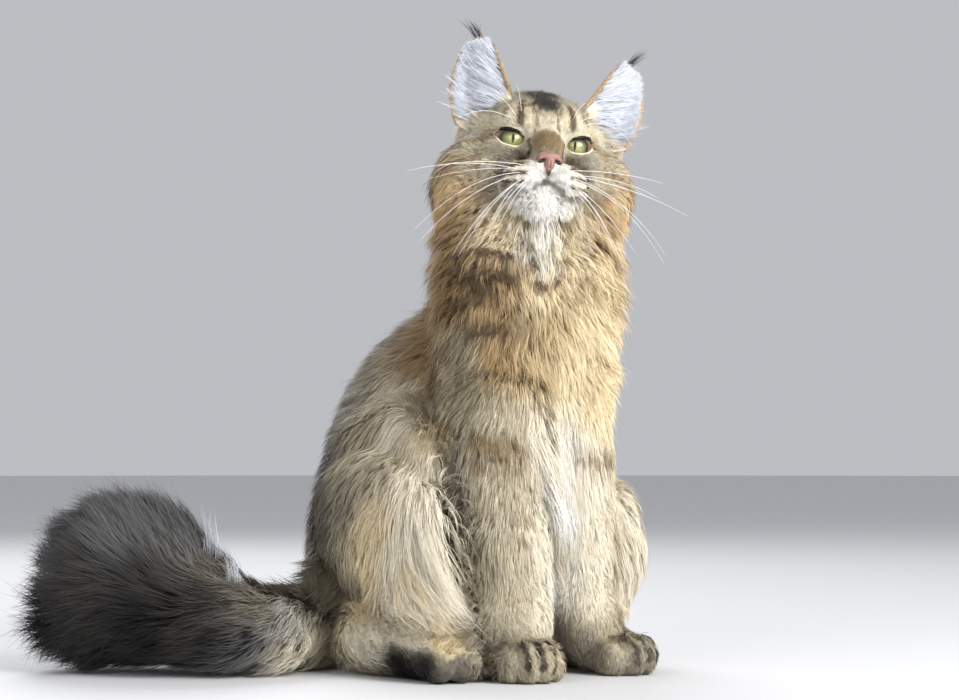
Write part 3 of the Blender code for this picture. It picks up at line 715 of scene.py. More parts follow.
bodyMarksAndShade = [
    ([(-71, -17, 290), (-59, -28, 287), (-42, -36, 286)], 11, "white", 0.95),
    ([(-60, -28, 279), (-50, -33, 268), (-38, -38, 274)], 8, "white", 0.9),
    ([(-30, -39, 284), (-18, -41, 276)], 11, "cream", 0.75),
    # the necklaces across the ruff: the coat's own dark bands, deepened with painted shade of the folds
    # between its layers
    ([(-89, 30, 279), (-86, 10, 282), (-80, -3, 281), (-68, -20, 278)], 1.6, "umber", 0.85),
    ([(-90, 30, 270), (-86, 8, 268), (-77, -9, 266), (-66, -21, 261)], 2.4, "umber", 0.95),
    ([(-90, 24, 264), (-84, 6, 260), (-76, -9, 252)], 1.7, "umber", 0.9),
    ([(-90, 30, 249), (-86, 18, 247), (-80, 2, 250)], 1.6, "umber", 0.85),
    ([(-81, 16, 227), (-74, 2, 229), (-69, -8, 228)], 2.2, "umber", 0.9),
    ([(-57, -30, 271), (-53, -31, 270)], 1.5, "umber", 0.7),
    ([(-55, -29, 260), (-46, -34, 257), (-36, -38, 261)], 1.8, "umber", 0.7),
    ([(-18, -42, 261), (-9, -42, 262)], 2.6, "brown", 0.6),
    ([(-27, -40, 249), (-12, -41, 249), (4, -40, 253)], 2, "brown", 0.5),
    ([(-64, -14, 236), (-56, -22, 230)], 8.5, "brown", 0.55),
    ([(-74, 20, 158), (-64, 4, 152), (-50, -6, 150)], 6, "brown", 0.95),
    ([(-72, 22, 140), (-60, 1, 136), (-48, -6, 136)], 3.5, "brown", 0.6),
    ([(0, -8, 146), (20, -8, 142), (36, 0, 142)], 5, "brown", 0.55),
    ([(-56, -4, 106), (-40, -9, 102)], 2.4, "brown", 0.6),
    ([(-56, -4, 92), (-42, -9, 89)], 2.2, "brown", 0.45),
    ([(-70, 75, 225), (-70, 80, 190), (-62, 75, 160)], 8, "slate", 0.6),
    # painted shadow of the gap down the front of the right thigh, beside the foreleg
    ([(-66, 45, 160), (-70, 38, 136), (-74, 29, 112), (-75, 25, 80)], 4.8, "soot", 0.7),
]
tailMarks = [
    ([(-172, 170, 78), (-174, 172, 100)], 3.4, "ash", 0.6),
    ([(-166, 150, 68), (-168, 150, 84)], 3, "ash", 0.55),
]
# painted shade in the clefts between the toes
pawCleftShade = {  # dark clefts between the toes: across and along a paw, in its half sizes
    "clefts": (-0.48, 0.0, 0.48),
    "half": 0.0018,
    "line": [(1, 0.55, 0.030), (1.06, 0.95, 0.019), (1.06, 1.05, 0.006)],
}


def tintTable(rows, matrix, mirror):
    spots, colours, ticks = [], [], []
    for x, y, z, tone in rows:
        for side in ((-1, 1) if mirror and x else (1,)):
            spots.append((side * x, y, z))
            colours.append(tones[tone][0])
            ticks.append(tones[tone][1])
    return toWorld(np.array(spots) / 1000, matrix), np.array(colours), np.array(ticks)


def joinTables(*tables):
    return [np.concatenate(parts) for parts in zip(*tables)]


coatTable = joinTables(
    tintTable(bodyTints + leftTints, catFrame, False),
    tintTable(headTints, headFrame, True),
)
tailTable = tintTable(tailTints, catFrame, False)


def listMarksAndShade():
    found = []
    for path, half, tone, strength, both in headMarksAndShade:
        for side in ((-1, 1) if both else (1,)):
            points = np.array(path) / 1000 * (side, 1, 1)
            found.append((toWorld(points, headFrame), half / 1000, tone, strength, 0))
    for path, half, tone, strength in bodyMarksAndShade:
        found.append((toWorld(np.array(path) / 1000, catFrame), half / 1000, tone, strength, 0))
    # painted shade along the clefts between the toes of each forepaw
    for spot, degrees in (flesh["pawRight"], flesh["pawLeft"]):
        pawFrame = catFrame @ Matrix.Translation(spot) @ Matrix.Rotation(math.radians(degrees), 4, "Z")
        wide, long = flesh["pawHalf"][:2]
        for across in pawCleftShade["clefts"]:
            front = -1.12 + 0.5 * across ** 2
            path = [(across * wide * out, front * long * on, high) for out, on, high in pawCleftShade["line"]]
            found.append((toWorld(path, pawFrame), pawCleftShade["half"], "smoke", 0.95, 0))
    for path, half, tone, strength in tailMarks:
        found.append((toWorld(np.array(path) / 1000, catFrame), half / 1000, tone, strength, 1))
    return found


def outlineTree():
    # all the flesh solids in one tree, with the node of each triangle
    points, triangles, owners = [], [], []
    for name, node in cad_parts.items():
        if name.startswith("eye") or name == "nose":
            continue
        co = pointsOf(node.data)
        node.data.calc_loop_triangles()
        tris = np.empty(len(node.data.loop_triangles) * 3, np.int32)
        node.data.loop_triangles.foreach_get("vertices", tris)
        triangles.append(tris.reshape(-1, 3) + sum(len(p) for p in points))
        owners += [name] * (len(tris) // 3)
        points.append(co)
    tree = BVHTree.FromPolygons(np.concatenate(points).tolist(), np.concatenate(triangles).tolist())
    return tree, owners


outline, outlineOwners = outlineTree()


def onOutline(points):
    return np.array([outline.find_nearest(Vector(point))[0] for point in points])


marksAndShade = [(onOutline(smoothPath(path, 5) if len(path) > 1 else path), *rest) for path, *rest in listMarksAndShade()]
folds = [path for path, half, tone, strength, tail in marksAndShade if tone == "umber" and 0.0014 < half < 0.0060]


def pathDistance(points, path):
    if len(path) == 1:
        return np.linalg.norm(points - path[0], axis=1)
    best = np.full(len(points), 9.0)
    for a, b in zip(path, path[1:]):
        along = b - a
        t = np.clip((points - a) @ along / (along @ along), 0, 1)
        best = np.minimum(best, np.linalg.norm(points - a - t[:, None] * along, axis=1))
    return best


def coatColour(points, onTail):
    # the tint and ticking of skin or coat, read where a point is nearest to the coat's outline
    points = onOutline(points)
    colours = np.empty((len(points), 3))
    ticks = np.empty(len(points))
    for flag, (spots, tints, ticking) in ((False, coatTable), (True, tailTable)):
        chosen = np.where(onTail == flag)[0]
        for part in np.array_split(chosen, max(1, len(chosen) // 40000)):
            if len(part) == 0:
                continue
            apart = ((points[part][:, None] - spots[None]) ** 2).sum(2)
            weight = 1 / (apart + 0.004 ** 2) ** 2.2
            weight /= weight.sum(1, keepdims=True)
            colours[part] = weight @ tints
            ticks[part] = weight @ ticking
    ragged = wave(points, 0.0045, 5) * 0.35 + wave(points, 0.0022, 6) * 0.2
    # the markings over the tints, with painted shade of folds, gaps, clefts and the mouth line among them
    for path, half, tone, strength, tail in marksAndShade:
        middle = path.mean(0)
        reach = np.linalg.norm(path - middle, axis=1).max() + half * 3
        near = np.where((np.linalg.norm(points - middle, axis=1) < reach) & (onTail == bool(tail)))[0]
        if len(near) == 0:
            continue
        apart = pathDistance(points[near], path) + ragged[near] * half * 1.2
        weight = strength * smoothStep(half * 1.45, half * 0.55, apart)
        colour, tick = tones[tone]
        colours[near] += weight[:, None] * (np.array(colour) - colours[near])
        ticks[near] += weight * (tick - ticks[near])
    return colours, ticks


# The lie of the coat: place, way it lies, length, how much of the coat's depth it fills,
# how free its end hangs and how far it gathers into locks
bodyLie = [
    (-10, -36, 285, 0, -0.2, -1, 30, 0.95, 0.2, 0.55),
    (-55, -18, 285, -0.25, -0.2, -1, 30, 0.95, 0.2, 0.55),
    (-85, 30, 285, -0.4, 0.1, -0.95, 32, 0.95, 0.25, 0.55),
    (65, 30, 285, 0.4, 0.1, -0.95, 32, 0.95, 0.25, 0.55),
    (35, -20, 285, 0.25, -0.2, -1, 30, 0.95, 0.2, 0.55),
    (0, 95, 285, 0, 0.45, -0.9, 28, 0.9, 0.1, 0.4),
    (-10, -38, 240, 0, 0.05, -1, 36, 0.95, 0.35, 0.6),
    (-70, -5, 240, -0.1, 0.05, -1, 36, 0.95, 0.35, 0.6),
    (-85, 35, 235, -0.05, 0.15, -1, 32, 0.95, 0.3, 0.55),
    (50, -5, 240, 0.1, 0.05, -1, 36, 0.95, 0.35, 0.6),
    (68, 35, 235, 0.05, 0.15, -1, 32, 0.95, 0.3, 0.55),
    (-10, -20, 190, 0.15, -0.05, -1, 32, 0.95, 0.3, 0.6),
    (-66, 35, 185, -0.05, 0.2, -1, 17, 0.95, 0.05, 0.35),
    (56, 35, 185, 0.05, 0.2, -1, 17, 0.95, 0.1, 0.35),
    (-50, 0, 165, -0.1, 0, -1, 16, 0.95, 0.05, 0.35),
    (0, -4, 130, 0.1, -0.05, -1, 34, 0.9, 0.45, 0.65),
    (-40, -8, 120, -0.05, 0, -1, 14, 0.95, 0, 0.3),
    (-68, 25, 110, -0.05, 0.2, -1, 14, 0.95, 0, 0.3),
    (-12, 0, 90, 0.45, -0.15, -0.85, 22, 0.95, 0.25, 0.55),
    (-36, 62, 90, 0, 0.35, -0.9, 18, 0.9, 0.1, 0.4),
    (-34, -6, 60, 0, -0.05, -1, 10, 0.95, 0, 0.25),
    (-60, 20, 55, -0.05, 0.1, -1, 10, 0.95, 0, 0.25),
    (30, -8, 110, 0.05, 0, -1, 12, 0.95, 0, 0.3),
    (52, 25, 110, 0.05, 0.2, -1, 12, 0.95, 0, 0.3),
    (30, 56, 90, 0, 0.35, -0.9, 16, 0.9, 0.1, 0.4),
    (30, -6, 60, 0, -0.05, -1, 10, 0.95, 0, 0.25),
    (-42, -8, 34, 0, -0.8, -0.55, 7.5, 0.95, 0, 0.2),
    (-50, -26, 20, 0, -0.75, -0.7, 6.5, 0.95, 0, 0.2),
    (-45, -36, 10, 0, -0.4, -0.9, 5, 0.95, 0, 0.2),
    (-66, 5, 14, -0.5, -0.1, -0.8, 7.5, 0.95, 0.05, 0.25),
    (-16, 0, 14, 0.4, -0.2, -0.8, 7, 0.95, 0.05, 0.25),
    (-35, 36, 14, 0, 0.6, -0.7, 9, 0.9, 0.05, 0.25),
    (45, -8, 34, 0, -0.8, -0.55, 7.5, 0.95, 0, 0.2),
    (47, -26, 20, 0, -0.75, -0.7, 6.5, 0.95, 0, 0.2),
    (47, -36, 10, 0, -0.4, -0.9, 5, 0.95, 0, 0.2),
    (68, 5, 14, 0.65, -0.1, -0.6, 11, 0.95, 0.15, 0.3),
    (22, 0, 14, -0.4, -0.2, -0.8, 7, 0.95, 0.05, 0.25),
    (0, 115, 245, 0, 0.7, -0.75, 24, 0.95, 0.05, 0.45),
    (-55, 105, 220, -0.25, 0.6, -0.8, 22, 0.95, 0.05, 0.45),
    (55, 105, 220, 0.25, 0.6, -0.8, 22, 0.95, 0.05, 0.45),
    (0, 190, 190, 0, 0.6, -0.85, 26, 0.95, 0.1, 0.5),
    (-60, 165, 180, -0.15, 0.45, -0.9, 24, 0.95, 0.1, 0.5),
    (60, 165, 180, 0.15, 0.45, -0.9, 24, 0.95, 0.1, 0.5),
    (0, 240, 110, 0, 0.25, -1, 28, 0.95, 0.15, 0.5),
    (-66, 195, 100, -0.1, 0.2, -1, 26, 0.95, 0.15, 0.5),
    (66, 195, 100, 0.1, 0.2, -1, 26, 0.95, 0.15, 0.5),
    (0, 255, 50, 0, 0.45, -0.9, 24, 0.9, 0.15, 0.45),
    (-62, 80, 180, -0.05, 0.25, -0.95, 20, 0.9, 0.05, 0.4),
    (62, 80, 180, 0.05, 0.25, -0.95, 20, 0.9, 0.05, 0.4),
    (-75, 115, 165, -0.45, 0.1, -0.85, 30, 1, 0.3, 0.6),
    (-85, 85, 150, -0.45, -0.1, -0.85, 26, 1, 0.2, 0.55),
    (80, 100, 158, 0.45, 0, -0.85, 26, 1, 0.2, 0.55),
    (-88, 45, 135, -0.25, -0.35, -0.9, 34, 0.95, 0.1, 0.5),
    (-75, 40, 120, -0.05, -0.2, -1, 36, 0.95, 0.3, 0.4),
    (-62, 50, 140, 0, -0.1, -1, 32, 0.95, 0.85, 0.3),
    (-66, 45, 60, 0, -0.1, -1, 26, 0.95, 0.85, 0.3),
    (-20, -10, 190, 0.05, -0.05, -1, 28, 0.95, 0.2, 0.5),
    (-24, 0, 165, 0.05, -0.05, -1, 28, 0.95, 0.2, 0.5),
    (86, 40, 130, 0.25, -0.35, -0.9, 24, 0.95, 0.2, 0.5),
    (-108, 90, 110, -0.15, 0.15, -1, 20, 0.95, 0.05, 0.45),
    (106, 90, 110, 0.15, 0.15, -1, 20, 0.95, 0.05, 0.45),
    (-98, 150, 100, -0.15, 0.35, -0.95, 22, 0.95, 0.05, 0.45),
    (98, 150, 100, 0.15, 0.35, -0.95, 22, 0.95, 0.05, 0.45),
    (-108, 100, 60, -0.1, 0.25, -0.95, 18, 0.95, 0.05, 0.4),
    (-106, 45, 105, -0.05, -0.15, -1, 50, 1, 0.2, 0.75),
    (-98, 28, 85, 0.15, -0.2, -1, 50, 1, 0.25, 0.8),
    (-100, 30, 55, 0.4, -0.2, -0.85, 40, 0.95, 0.25, 0.75),
    (-80, 22, 70, 0.4, -0.2, -0.9, 36, 0.95, 0.2, 0.65),
    (100, 40, 100, 0.2, -0.15, -1, 40, 1, 0.55, 0.75),
    (86, 20, 85, 0.15, -0.25, -1, 40, 1, 0.6, 0.75),
    (80, 30, 55, 0.1, -0.2, -1, 30, 0.95, 0.45, 0.65),
    (-105, 45, 36, -0.25, -0.9, -0.3, 10, 0.95, 0, 0.3),
    (-108, 85, 30, -0.25, -0.8, -0.4, 12, 0.95, 0, 0.35),
    (-100, 30, 12, -0.2, -0.8, -0.5, 9, 0.95, 0, 0.3),
    (-85, 10, 20, 0, -0.9, -0.45, 8, 0.95, 0, 0.25),
    (70, 60, 30, 0.2, -0.7, -0.6, 12, 0.95, 0, 0.35),
    (65, 45, 15, 0.1, -0.9, -0.45, 8, 0.95, 0, 0.25),
    (-55, 50, 90, 0.1, -0.1, -1, 26, 0.95, 0.85, 0.3),
]
tailLie = [
    (4, 240, 70, -0.7, 0.3, -0.4, 26, 0.95, 0.15, 0.5),
    (-60, 215, 60, -0.85, -0.35, -0.1, 32, 0.95, 0.2, 0.6),
    (-60, 235, 30, -0.7, 0.4, -0.5, 30, 0.95, 0.2, 0.6),
    (-95, 165, 58, -0.85, -0.4, -0.2, 36, 0.95, 0.25, 0.65),
    (-105, 140, 30, -0.75, -0.45, -0.5, 40, 0.95, 0.3, 0.7),
    (-135, 130, 45, -0.85, -0.2, -0.45, 42, 0.95, 0.3, 0.7),
    (-140, 120, 12, -0.9, -0.2, -0.2, 44, 0.95, 0.3, 0.75),
    (-150, 160, 70, -0.85, 0.25, 0.1, 40, 0.95, 0.3, 0.6),
    (-175, 140, 60, -0.85, 0.05, -0.2, 44, 0.95, 0.35, 0.6),
    (-180, 135, 20, -0.9, 0.1, -0.2, 44, 0.95, 0.35, 0.65),
    (-140, 200, 45, -0.4, 0.7, -0.3, 40, 0.95, 0.3, 0.6),
    (-172, 172, 90, 0, 0.1, 0.95, 60, 1.3, 0.8, 0.6),
    (-172, 160, 78, 0, 0.05, 0.95, 56, 1.3, 0.8, 0.6),
    (-192, 180, 105, -0.05, 0.1, 0.95, 58, 1.15, 0.75, 0.55),
    (-205, 200, 115, -0.15, 0.15, 0.95, 58, 1.1, 0.75, 0.5),
    (-225, 205, 105, -0.45, 0.3, 0.85, 58, 1.05, 0.7, 0.5),
    (-245, 215, 85, -0.75, 0.45, 0.45, 54, 1.05, 0.6, 0.5),
    (-258, 230, 50, -0.8, 0.45, -0.25, 54, 1.15, 0.6, 0.5),
    (-250, 235, 20, -0.7, 0.3, -0.7, 62, 1.6, 0.7, 0.5),
    (-232, 215, 12, -0.6, 0.1, -0.85, 58, 1.6, 0.7, 0.5),
    (-235, 180, 80, -0.4, 0.15, 0.75, 48, 0.95, 0.4, 0.5),
    (-238, 178, 45, -0.65, 0.2, -0.5, 46, 0.95, 0.3, 0.6),
    (-200, 155, 75, -0.25, 0.05, 0.9, 48, 0.95, 0.45, 0.55),
    (-215, 155, 60, -0.45, 0, 0.55, 46, 0.95, 0.35, 0.55),
    (-215, 155, 25, -0.55, 0.05, -0.8, 46, 1.25, 0.4, 0.6),
    (-195, 145, 10, -0.6, 0.05, -0.75, 44, 1.25, 0.4, 0.6),
    (-205, 280, 80, 0, 0.8, 0.6, 50, 1, 0.6, 0.5),
    (-180, 270, 40, 0.4, 0.8, -0.2, 48, 1, 0.45, 0.5),
    (-155, 230, 60, 0.6, 0.5, 0.2, 44, 0.95, 0.4, 0.5),
]
headLie = [  # on the right and mirrored for the left
    (0, -68, -2, 0, 0.75, 0.6, 3.4, 0.95, 0.3, 0.25),
    (0, -60, 7, 0, 0.5, 0.85, 4.5, 1, 0.7, 0.35),
    (-7, -57, 6, -0.25, 0.5, 0.8, 4.5, 1, 0.6, 0.3),
    (0, -50, 18, 0, 0.5, 0.85, 4.6, 0.95, 0.3, 0.35),
    (0, -36, 36, 0, 0.75, 0.65, 7, 0.95, 0, 0.35),
    (0, -5, 52, 0, 1, 0.1, 10, 0.95, 0, 0.4),
    (0, 45, 35, 0, 0.6, -0.8, 16, 0.95, 0, 0.4),
    (-20, -42, 26, -0.25, 0.55, 0.8, 5.5, 0.95, 0, 0.3),
    (-30, -25, 36, -0.35, 0.75, 0.55, 8, 0.95, 0, 0.35),
    (-42, -14, 28, -0.5, 0.85, 0.05, 9, 0.95, 0, 0.35),
    (-14, -52, -2, -0.75, 0.55, -0.35, 3.4, 0.9, 0, 0.2),
    (-26, -50, -6, -0.8, 0.6, -0.25, 4.5, 0.9, 0, 0.25),
    (-10, -76, -20, -0.75, 0.35, -0.5, 2.6, 0.9, 0, 0.2),
    (-20, -70, -22, -0.75, 0.55, -0.4, 3.4, 0.9, 0, 0.25),
    (-24, -60, -14, -0.8, 0.6, -0.25, 4.5, 0.9, 0, 0.25),
    (-30, -50, -26, -0.65, 0.6, -0.5, 7, 0.9, 0, 0.3),
    (-42, -36, -12, -0.65, 0.65, -0.4, 8.5, 0.95, 0, 0.35),
    (-50, -26, -28, -0.5, 0.5, -0.75, 17, 0.95, 0.1, 0.45),
    (-60, -10, -20, -0.5, 0.5, -0.7, 22, 0.95, 0.2, 0.5),
    (-56, -2, 8, -0.75, 0.5, -0.25, 21, 1.15, 0.5, 0.45),
    (-64, -4, -6, -0.7, 0.45, -0.45, 23, 1.15, 0.6, 0.45),
    (-60, 10, -50, -0.55, 0.2, -0.85, 34, 1.05, 0.6, 0.5),
    (-42, -30, 10, -0.65, 0.75, -0.05, 6.5, 0.95, 0, 0.3),
    (0, -70, -36, 0, -0.05, -1, 4.5, 0.95, 0, 0.05),
    (0, -66, -44, 0, 0.05, -1, 7, 0.95, 0, 0.05),
    (0, -58, -51, 0, 0.2, -0.95, 11.5, 0.95, 0.1, 0.15),
    (-20, -56, -42, -0.35, 0.35, -0.85, 11, 0.95, 0.1, 0.4),
    (0, -35, -62, 0, -0.1, -1, 24, 0.95, 0.2, 0.5),
    (-35, -35, -50, -0.3, -0.05, -0.95, 22, 0.95, 0.2, 0.5),
    (-3, -76, -26, -0.3, 0.15, -0.95, 2.2, 0.9, 0, 0.2),
    (-40, 40, 10, -0.4, 0.7, -0.6, 16, 0.95, 0, 0.4),
    (-55, 40, -30, -0.4, 0.5, -0.8, 26, 0.95, 0.1, 0.5),
    (0, 60, -30, 0, 0.5, -0.85, 26, 0.95, 0.1, 0.5),
]


def lieTable(rows, matrix, mirror):
    table = []
    for row in rows:
        for side in ((1, -1) if mirror and (row[0] or row[3]) else (1,)):
            table.append((side * row[0], row[1], row[2], side * row[3], *row[4:]))
    table = np.array(table, float)
    table[:, :3] = toWorld(table[:, :3] / 1000, matrix)
    table[:, 3:6] = unit(turned(table[:, 3:6], matrix))
    table[:, 6] /= 1000
    return table


lieTables = {
    "body": lieTable(bodyLie, catFrame, False),
    "tail": lieTable(tailLie, catFrame, False),
    "head": lieTable(headLie, headFrame, True),
}


def readLie(points, group):
    table = lieTables[group]
    apart = ((points[:, None] - table[None, :, :3]) ** 2).sum(2)
    weight = 1 / (apart + 0.003 ** 2) ** 1.9
    weight /= weight.sum(1, keepdims=True)
    return weight @ table[:, 3:]


# The coat's pieces: CAD nodes and, on the head, lengths; strands, strands in a tuft, rows on
# a strand, width and spread of the strands, how much they sway, lock together, curve over and
# frizz, and how soft their shades are
coatPieces = {
    "muzzleFur": dict(nodes=["head"], long=(0, 0.0046), group="head", strands=40000, tuft=6, rows=3,
                      width=0.00026, spread=0.0007, sway=0.20, lock=0.2, curve=1.8, frizz=0.6, soft=1),
    "faceFur": dict(nodes=["head"], long=(0.0046, 0.0115), group="head", strands=36000, tuft=6, rows=3,
                    width=0.00032, spread=0.0010, sway=0.35, lock=0.5, curve=1.8, frizz=0.8, soft=0.6),
    "cheekFur": dict(nodes=["head"], long=(0.0115, 1), group="head", strands=26000, tuft=8, rows=4,
                     width=0.00034, spread=0.0015, sway=0.6, lock=0.5, curve=1.6, frizz=0.8, soft=0.7),
    "ruffFur": dict(nodes=["neck"], group="body", strands=36000, tuft=8, rows=4,
                    width=0.00036, spread=0.0020, sway=0.8, lock=0.4, curve=1.6, frizz=0.8, soft=0.8),
    "chestFur": dict(nodes=["chest"], group="body", strands=26000, tuft=8, rows=4,
                     width=0.00036, spread=0.0020, sway=0.8, lock=0.45, curve=1.8, frizz=0.8, soft=0.8),
    "backFur": dict(nodes=["loin", "rump"], group="body", strands=19000, tuft=8, rows=4,
                    width=0.00046, spread=0.0018, sway=0.9, lock=0.7, curve=1.8, soft=0.4),
    "forelegFur": dict(nodes=["shoulder_", "foreleg_", "forepaw_"], group="body", strands=55000, tuft=6,
                       rows=3, width=0.00034, spread=0.0016, sway=0.25, lock=0.15, curve=2.2, frizz=0.5,
                       soft=1),
    "haunchFur": dict(nodes=["thigh_"], group="body", strands=27000, tuft=8, rows=4,
                      width=0.00038, spread=0.0017, sway=0.55, lock=0.7, curve=2.2, frizz=0.5, soft=0.5),
    "hindFootFur": dict(nodes=["shank_", "hindfoot_"], group="body", strands=26000, tuft=7, rows=3,
                        width=0.00036, spread=0.0012, sway=0.4, lock=0.4, curve=2.0, frizz=0.6, soft=0.6),
    "tailRootFur": dict(nodes=["tail_root", "tail_middle"], group="tail", strands=22000, tuft=8, rows=4,
                        width=0.00044, spread=0.0019, sway=0.9, lock=0.8, curve=1.6, soft=0.4),
    "brushFur": dict(nodes=["tail_brush"], group="tail", strands=31000, tuft=8, rows=4,
                     width=0.00046, spread=0.0022, sway=1.0, lock=0.7, curve=1.15),
}
foldShape = {  # how a coat parts along the necklaces
    "pieces": ("ruffFur", "chestFur"),
    "reach": 0.0050,
    "wave": 0.0034,
    "waves": 0.45,
    "deep": 0.24,
}


def measureCoat(points, normals):
    # how far the coat's outline stands from each point, and the node it belongs to
    tree, owners = outline, outlineOwners
    depths = np.zeros(len(points))
    names = []
    for k, (point, normal) in enumerate(zip(points, normals)):
        start, way, gone, owner = Vector(point), Vector(normal), 0.0, None
        for step in range(7):
            hit, face, index, reach = tree.ray_cast(start + way * 1e-5, way, 0.09)
            if hit is None or (owner and gone > 0 and reach > 0.0012 and facing > 0):
                break
            facing = face.dot(way)
            gone += reach + 1e-5
            owner = owners[index]
            start = hit
            depths[k] = gone
        hit, face, index, reach = tree.find_nearest(Vector(point))
        if owner is None or owner.startswith("tail") != owners[index].startswith("tail"):
            owner = owners[index]  # the ray missed, or passed on to the tail from beside it
            depths[k] = min(depths[k], reach)
        names.append(owner)
    return depths, names


class Surface:
    # the skin as arrays: triangles, normals, map places, coat depth and node
    def __init__(self, skin):
        mesh = skin.data
        self.points = pointsOf(mesh)
        self.normals = normalsOf(mesh)
        mesh.calc_loop_triangles()
        count = len(mesh.loop_triangles)
        tris, loops = np.empty(count * 3, np.int32), np.empty(count * 3, np.int32)
        mesh.loop_triangles.foreach_get("vertices", tris)
        mesh.loop_triangles.foreach_get("loops", loops)
        self.tris = tris.reshape(-1, 3)
        uv = np.empty(len(mesh.loops) * 2, np.float32)
        mesh.uv_layers["OFBake"].uv.foreach_get("vector", uv)
        self.uv = uv.reshape(-1, 2)[loops.reshape(-1, 3)]
        a, b, c = (self.points[self.tris[:, k]] for k in range(3))
        self.area = np.linalg.norm(np.cross(b - a, c - a), axis=1) / 2
        self.tree = BVHTree.FromPolygons(self.points.tolist(), self.tris.tolist())
        self.depth, names = measureCoat(self.points, self.normals)
        self.names = np.array(names)
        edges = np.empty(len(mesh.edges) * 2, np.int32)
        mesh.edges.foreach_get("vertices", edges)
        edges = edges.reshape(-1, 2)
        for again in range(6):  # evens out the depth over the skin
            total, number = self.depth.copy(), np.ones(len(self.depth))
            for one, other in (edges.T, edges.T[::-1]):
                np.add.at(total, one, self.depth[other])
                np.add.at(number, one, 1)
            self.depth = total / number
        self.triNames = self.names[self.tris[:, 0]]

    def nearest(self, points):
        places, ways = np.empty_like(points), np.empty_like(points)
        for k, point in enumerate(points):
            hit, normal, index, reach = self.tree.find_nearest(Vector(point))
            corners = self.tris[index]
            weight = 1 / (((self.points[corners] - hit) ** 2).sum(1) + 1e-9)
            places[k] = hit
            ways[k] = weight @ self.normals[corners]
        return places, unit(ways)

    def mapPlaces(self, points):
        return np.array([self.uv[self.tree.find_nearest(Vector(point))[2]].mean(0) for point in points])

    def sample(self, count, weight):
        total = np.cumsum(self.area * weight)
        spots = (np.arange(count) + rng.random(count)) / count * total[-1]
        tri = np.searchsorted(total, spots).clip(0, len(total) - 1)
        a, b = np.sqrt(rng.random(count)), rng.random(count)
        bary = np.stack([1 - a, a * (1 - b), a * b], 1)[:, :, None]
        corners = self.tris[tri]
        return (
            (self.points[corners] * bary).sum(1),
            unit((self.normals[corners] * bary).sum(1)),
            (self.uv[tri] * bary).sum(1),
            (self.depth[corners] * bary[:, :, 0]).sum(1),
        )


skinLook = {  # how bright the skin is beside its coat, the ears' own colours and the mouth line
    "head": 0.88,
    "body": 0.70,
    "ear": linear(142, 126, 104),
    "earHollow": linear(192, 174, 160),
    # the mouth line: the lips' own dark edge and painted shade of the crease
    "mouth": 0.72,
}


def skinTints(surface):
    onTail = np.char.startswith(surface.names, "tail")
    colours = coatColour(surface.points + surface.normals * surface.depth[:, None], onTail)[0]
    colours *= np.where(surface.names == "head", skinLook["head"], skinLook["body"])[:, None]
    first = ears["firstPoint"]
    colours[first:] = skinLook["ear"]
    for side in (-1, 1):  # the hollow of each ear is bare and paler
        hollow = turned(surface.normals, earFrame(side).inverted())[:, 1] < -0.2
        hollow &= side * toLocal(surface.points, headFrame)[:, 0] > 0
        hollow[:first] = False
        colours[hollow] = skinLook["earHollow"]
    # the lip skin darkened along the mouth line: own dark lips and painted shade of the crease
    mouth = lipGap(toLocal(surface.points, headFrame))
    return colours * (1 - skinLook["mouth"] * smoothStep(0.0018, 0.0006, mouth))[:, None]


def layPaths(surface, roots, normals, lie, length, height, free, steps, curve=1.8):
    # marches each tuft over the skin, rising to its height and following the form
    path, here, up = [roots], roots.copy(), normals.copy()
    sides = []
    for k in range(1, steps + 1):
        before, after = (k - 1) / steps, k / steps
        rise = height * ((1 - before) ** curve - (1 - after) ** curve)
        stride = length / steps
        ahead = np.sqrt(np.maximum(stride ** 2 - rise ** 2, (0.35 * stride) ** 2))
        flow = unit(lie - (lie * up).sum(1, keepdims=True) * up)
        loose = here + flow * ahead[:, None] + up * rise[:, None]
        spots, ways = surface.nearest(loose)
        held = spots + ways * (height * (1 - (1 - after) ** curve))[:, None]
        creased = (ways * up).sum(1, keepdims=True) < 0.3
        part = np.where(creased, 1, (free * after)[:, None])  # not bent round into a crease
        here = held * (1 - part) + loose * part
        here[:, 2] = np.maximum(here[:, 2], 0.0008)
        path.append(here)
        sides.append(unit(np.cross(flow, up)))
        up = unit(up * part + ways * (1 - part))
    path = np.stack(path, 1)
    sides.append(sides[-1])
    return path, np.stack(sides, 1)


def pointTree(points):
    tree = KDTree(len(points))
    for k, point in enumerate(points):
        tree.insert(point, k)
    tree.balance()
    return tree


def gatherLocks(path, pull, share):
    # draws the ends of neighbouring tufts toward that of one of them
    chosen = np.where(rng.random(len(path)) < share)[0]
    if len(chosen) < 4:
        return path
    tree = pointTree(path[chosen, 1])
    leader = np.array([chosen[tree.find(spot)[1]] for spot in path[:, 1]])
    apart = path[leader] - path
    far = np.linalg.norm(apart[:, 0], axis=1)
    pull = pull * np.exp(-(far / 0.007) ** 2)
    s = np.linspace(0, 1, path.shape[1]) ** 1.4
    return path + apart * pull[:, None, None] * s[None, :, None]


def pathColours(path, onTail):
    # the tint at each place of each path, read on the coat's outline
    count = len(path)
    spots = np.stack([path[:, 1], path[:, 3] * 0.75 + path[:, 4] * 0.25], 1)
    colours, ticks = coatColour(spots.reshape(-1, 3), np.full(count * 2, onTail))
    colours = colours.reshape(count, 2, 3)
    mixed = [colours[:, 0] * (1 - part) + colours[:, 1] * part for part in (0, 0.2, 0.8, 1, 1)]
    return np.stack(mixed, 1), ticks.reshape(count, 2)[:, 1]


